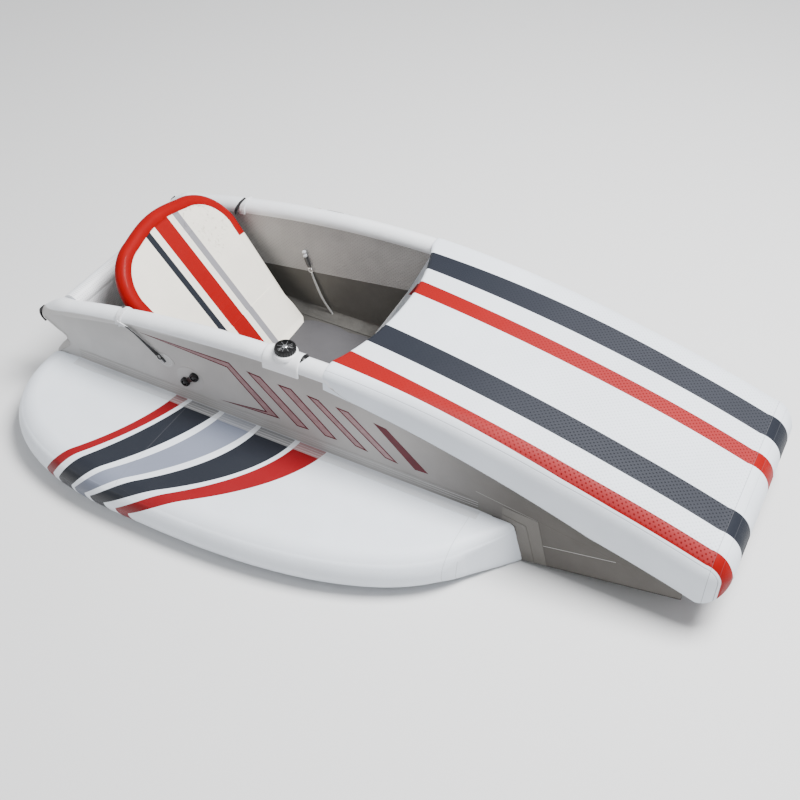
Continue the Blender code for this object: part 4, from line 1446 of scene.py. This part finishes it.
def make_clamp(side_name, side):
    """The double black cord clamp on its thin patch outside the wall."""
    off_wall = 0.0005
    middle = (CLAMP_CENTRES[0] + CLAMP_CENTRES[1]) / 2
    bm = plate(oval(middle, CLAMP_PATCH_REACH, 24), 0.0008, side)
    finish_piece("clamp_patch_" + side_name, bm, [PATCH_FINISH])
    facing = Vector((0.0, side, 0.0))
    outward = facing.to_track_quat("Z", "Y").to_matrix().to_4x4()
    collar = [(0.0150, 0.0), (0.0158, 0.0040), (0.0150, 0.0095), (0.0128, 0.0112), (0.0100, 0.0112),
              (0.0088, 0.0080), (0.0085, 0.0040), (0.0020, 0.0040)]
    knot = [(0.0020, 0.0030), (0.0055, 0.0045), (0.0062, 0.0075), (0.0050, 0.0105), (0.0015, 0.0120)]
    for number, centre in enumerate(CLAMP_CENTRES, start=1):
        place = Matrix.Translation((centre.x, side * (WALL_FACE + off_wall), centre.y)) @ outward
        piece = finish_piece("clamp_ring_%d_%s" % (number, side_name), turned(collar, 40, place),
                             [BLACK_FINISH], 40.0)
        if number == 1:
            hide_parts("cord_clamp_" + side_name)
        finish_piece("clamp_knot_%d_%s" % (number, side_name), turned(knot, 20, place), [CLIP_FINISH],
                     60.0)
    bridge = on_wall([CLAMP_CENTRES[0], middle, CLAMP_CENTRES[1]], side, 0.0045)
    finish_piece("clamp_bridge_" + side_name, ribbon(bridge, 0.018, 0.0075, facing), [BLACK_FINISH])


def make_inner_cord(side_name, side):
    """The knots, clip, ring and cord on the inside of the wall."""
    top = Vector((HANGER_TOP[0], side * (INNER_FACE - 0.0060), HANGER_TOP[1]))
    knot = [(0.0020, -0.0070), (0.0060, -0.0045), (0.0076, 0.0), (0.0060, 0.0045), (0.0020, 0.0070)]
    for number, drop in enumerate((0.0, 0.014), start=1):
        place = Matrix.Translation(top + Vector((0.003 * number, 0.0, -drop)))
        finish_piece("cord_knot_%d_%s" % (number, side_name), turned(knot, 20, place), [LOOP_FINISH],
                     60.0)
    clip = smooth_path([top + Vector((along, 0.0, -down))
                        for along, down in ((0.007, 0.020), (0.012, 0.038), (0.020, 0.058))], 6)
    bm = ribbon(clip, lambda share: 0.0125 - 0.004 * abs(share - 0.4), 0.0070, Vector((0.0, side, 0.0)))
    piece = finish_piece("cord_clip_" + side_name, bm, [CLIP_FINISH])
    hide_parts("cord_hanger_" + side_name)
    centre = top + Vector((0.024, 0.0, -0.070))
    reach = 0.0085
    ring = [centre + Vector((reach * math.cos(a), 0.0, reach * math.sin(a))) for a in full_turn(20)]
    bm = tube_along(ring, 0.0018, 8, closed=True)
    finish_piece("cord_ring_" + side_name, bm, [METAL_FINISH], 60.0)
    path = smooth_path([(x, side * (INNER_FACE - off), z)
                        for (x, z), off in zip(CORD_POINTS, CORD_STAND_OFF)], 8)
    piece = finish_piece("inner_cord_" + side_name, tube_along(path, CORD_RADIUS, 10), [CORD_FINISH],
                         60.0)
    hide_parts("side_cord_" + side_name)


def make_seat_strap(side_name, side):
    """The short black strap at the seat's edge that reaches for the rim loop."""
    back = -SEAT_THICKNESS / 2 - 0.0015
    route = [(0.256, 0.334, 0.0), (0.275, 0.335, -0.0004), (0.290, 0.336, 0.003), (0.308, 0.338, 0.002)]
    path = smooth_path([seat_point(side * across, along, back + out) for across, along, out in route], 6)
    bm = ribbon(path, lambda share: 0.025 - 0.009 * share, 0.0022, seat_point(0.0, 0.0, -1.0) - HINGE)
    piece = finish_piece("seat_strap_" + side_name, bm, [WEBBING_FINISH], body="seat")
    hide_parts("seat_tab_" + side_name)


make_deck()
make_seat()
make_seat_flap()
make_mat()
make_stern_board()
make_valve()
for side_name, side in (("starboard", -1), ("port", 1)):
    for make in (make_wall, make_wall_marks, make_wing, make_wing_patch, make_floor_fillet, make_stern_strip,
                 make_wall_strap, make_strap_end, make_clamp, make_inner_cord, make_seat_strap):
        make(side_name, side)

# CAD pieces that keep their shape and take a finish
for node_name, finish in (("floor_panel", BOTTOM_FINISH), ("seat_hinge_sleeve", MAT_FINISH)):
    for material_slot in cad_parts[node_name].material_slots:
        material_slot.material = finish


# Studio

def make_floor():
    """A pale floor just below the boat."""
    reach, drop = 30.0, 0.0015
    mesh = bpy.data.meshes.new("studio_floor")
    corners = [(x * reach, y * reach, -drop) for x, y in ((-1, -1), (1, -1), (1, 1), (-1, 1))]
    mesh.from_pydata(corners, [], [(0, 1, 2, 3)])
    floor = bpy.data.objects.new("studio_floor", mesh)
    bpy.context.scene.collection.objects.link(floor)
    material = bpy.data.materials.new("studio floor")
    material.use_nodes = True
    shader = material.node_tree.nodes["Principled BSDF"]
    shader.inputs["Base Color"].default_value = (0.68, 0.68, 0.68, 1.0)
    shader.inputs["Roughness"].default_value = 0.9
    mesh.materials.append(material)


def make_softbox(name, place, size, power):
    """A square soft light aimed at the boat."""
    target = Vector((0.0, 0.0, 0.2))
    data = bpy.data.lights.new(name, "AREA")
    data.shape = "SQUARE"
    data.size = size
    data.energy = power
    lamp = bpy.data.objects.new(name, data)
    lamp.location = place
    lamp.rotation_euler = (target - Vector(place)).to_track_quat("-Z", "Y").to_euler()
    bpy.context.scene.collection.objects.link(lamp)


def make_world():
    """Even daylight from all round."""
    world = bpy.data.worlds.new("studio")
    world.use_nodes = True
    background = world.node_tree.nodes["Background"]
    background.inputs["Color"].default_value = (0.95, 0.97, 1.0, 1.0)
    background.inputs["Strength"].default_value = 0.55
    bpy.context.scene.world = world


def make_camera():
    """The camera at the photograph's place and angle."""
    data = bpy.data.cameras.new("photo_camera")
    data.lens = CAMERA_LENS
    camera = bpy.data.objects.new("photo_camera", data)
    axes = Matrix((CAMERA_RIGHT, CAMERA_UP, CAMERA_RIGHT.cross(CAMERA_UP))).transposed().to_4x4()
    camera.matrix_world = Matrix.Translation(CAMERA_PLACE) @ axes
    bpy.context.scene.collection.objects.link(camera)
    bpy.context.scene.camera = camera


make_floor()
make_softbox("overhead softbox", (1.8, 0.6, 4.9), 2.2, 800.0)
make_softbox("fill softbox", (-3.4, -3.0, 3.0), 2.0, 35.0)
make_world()
make_camera()
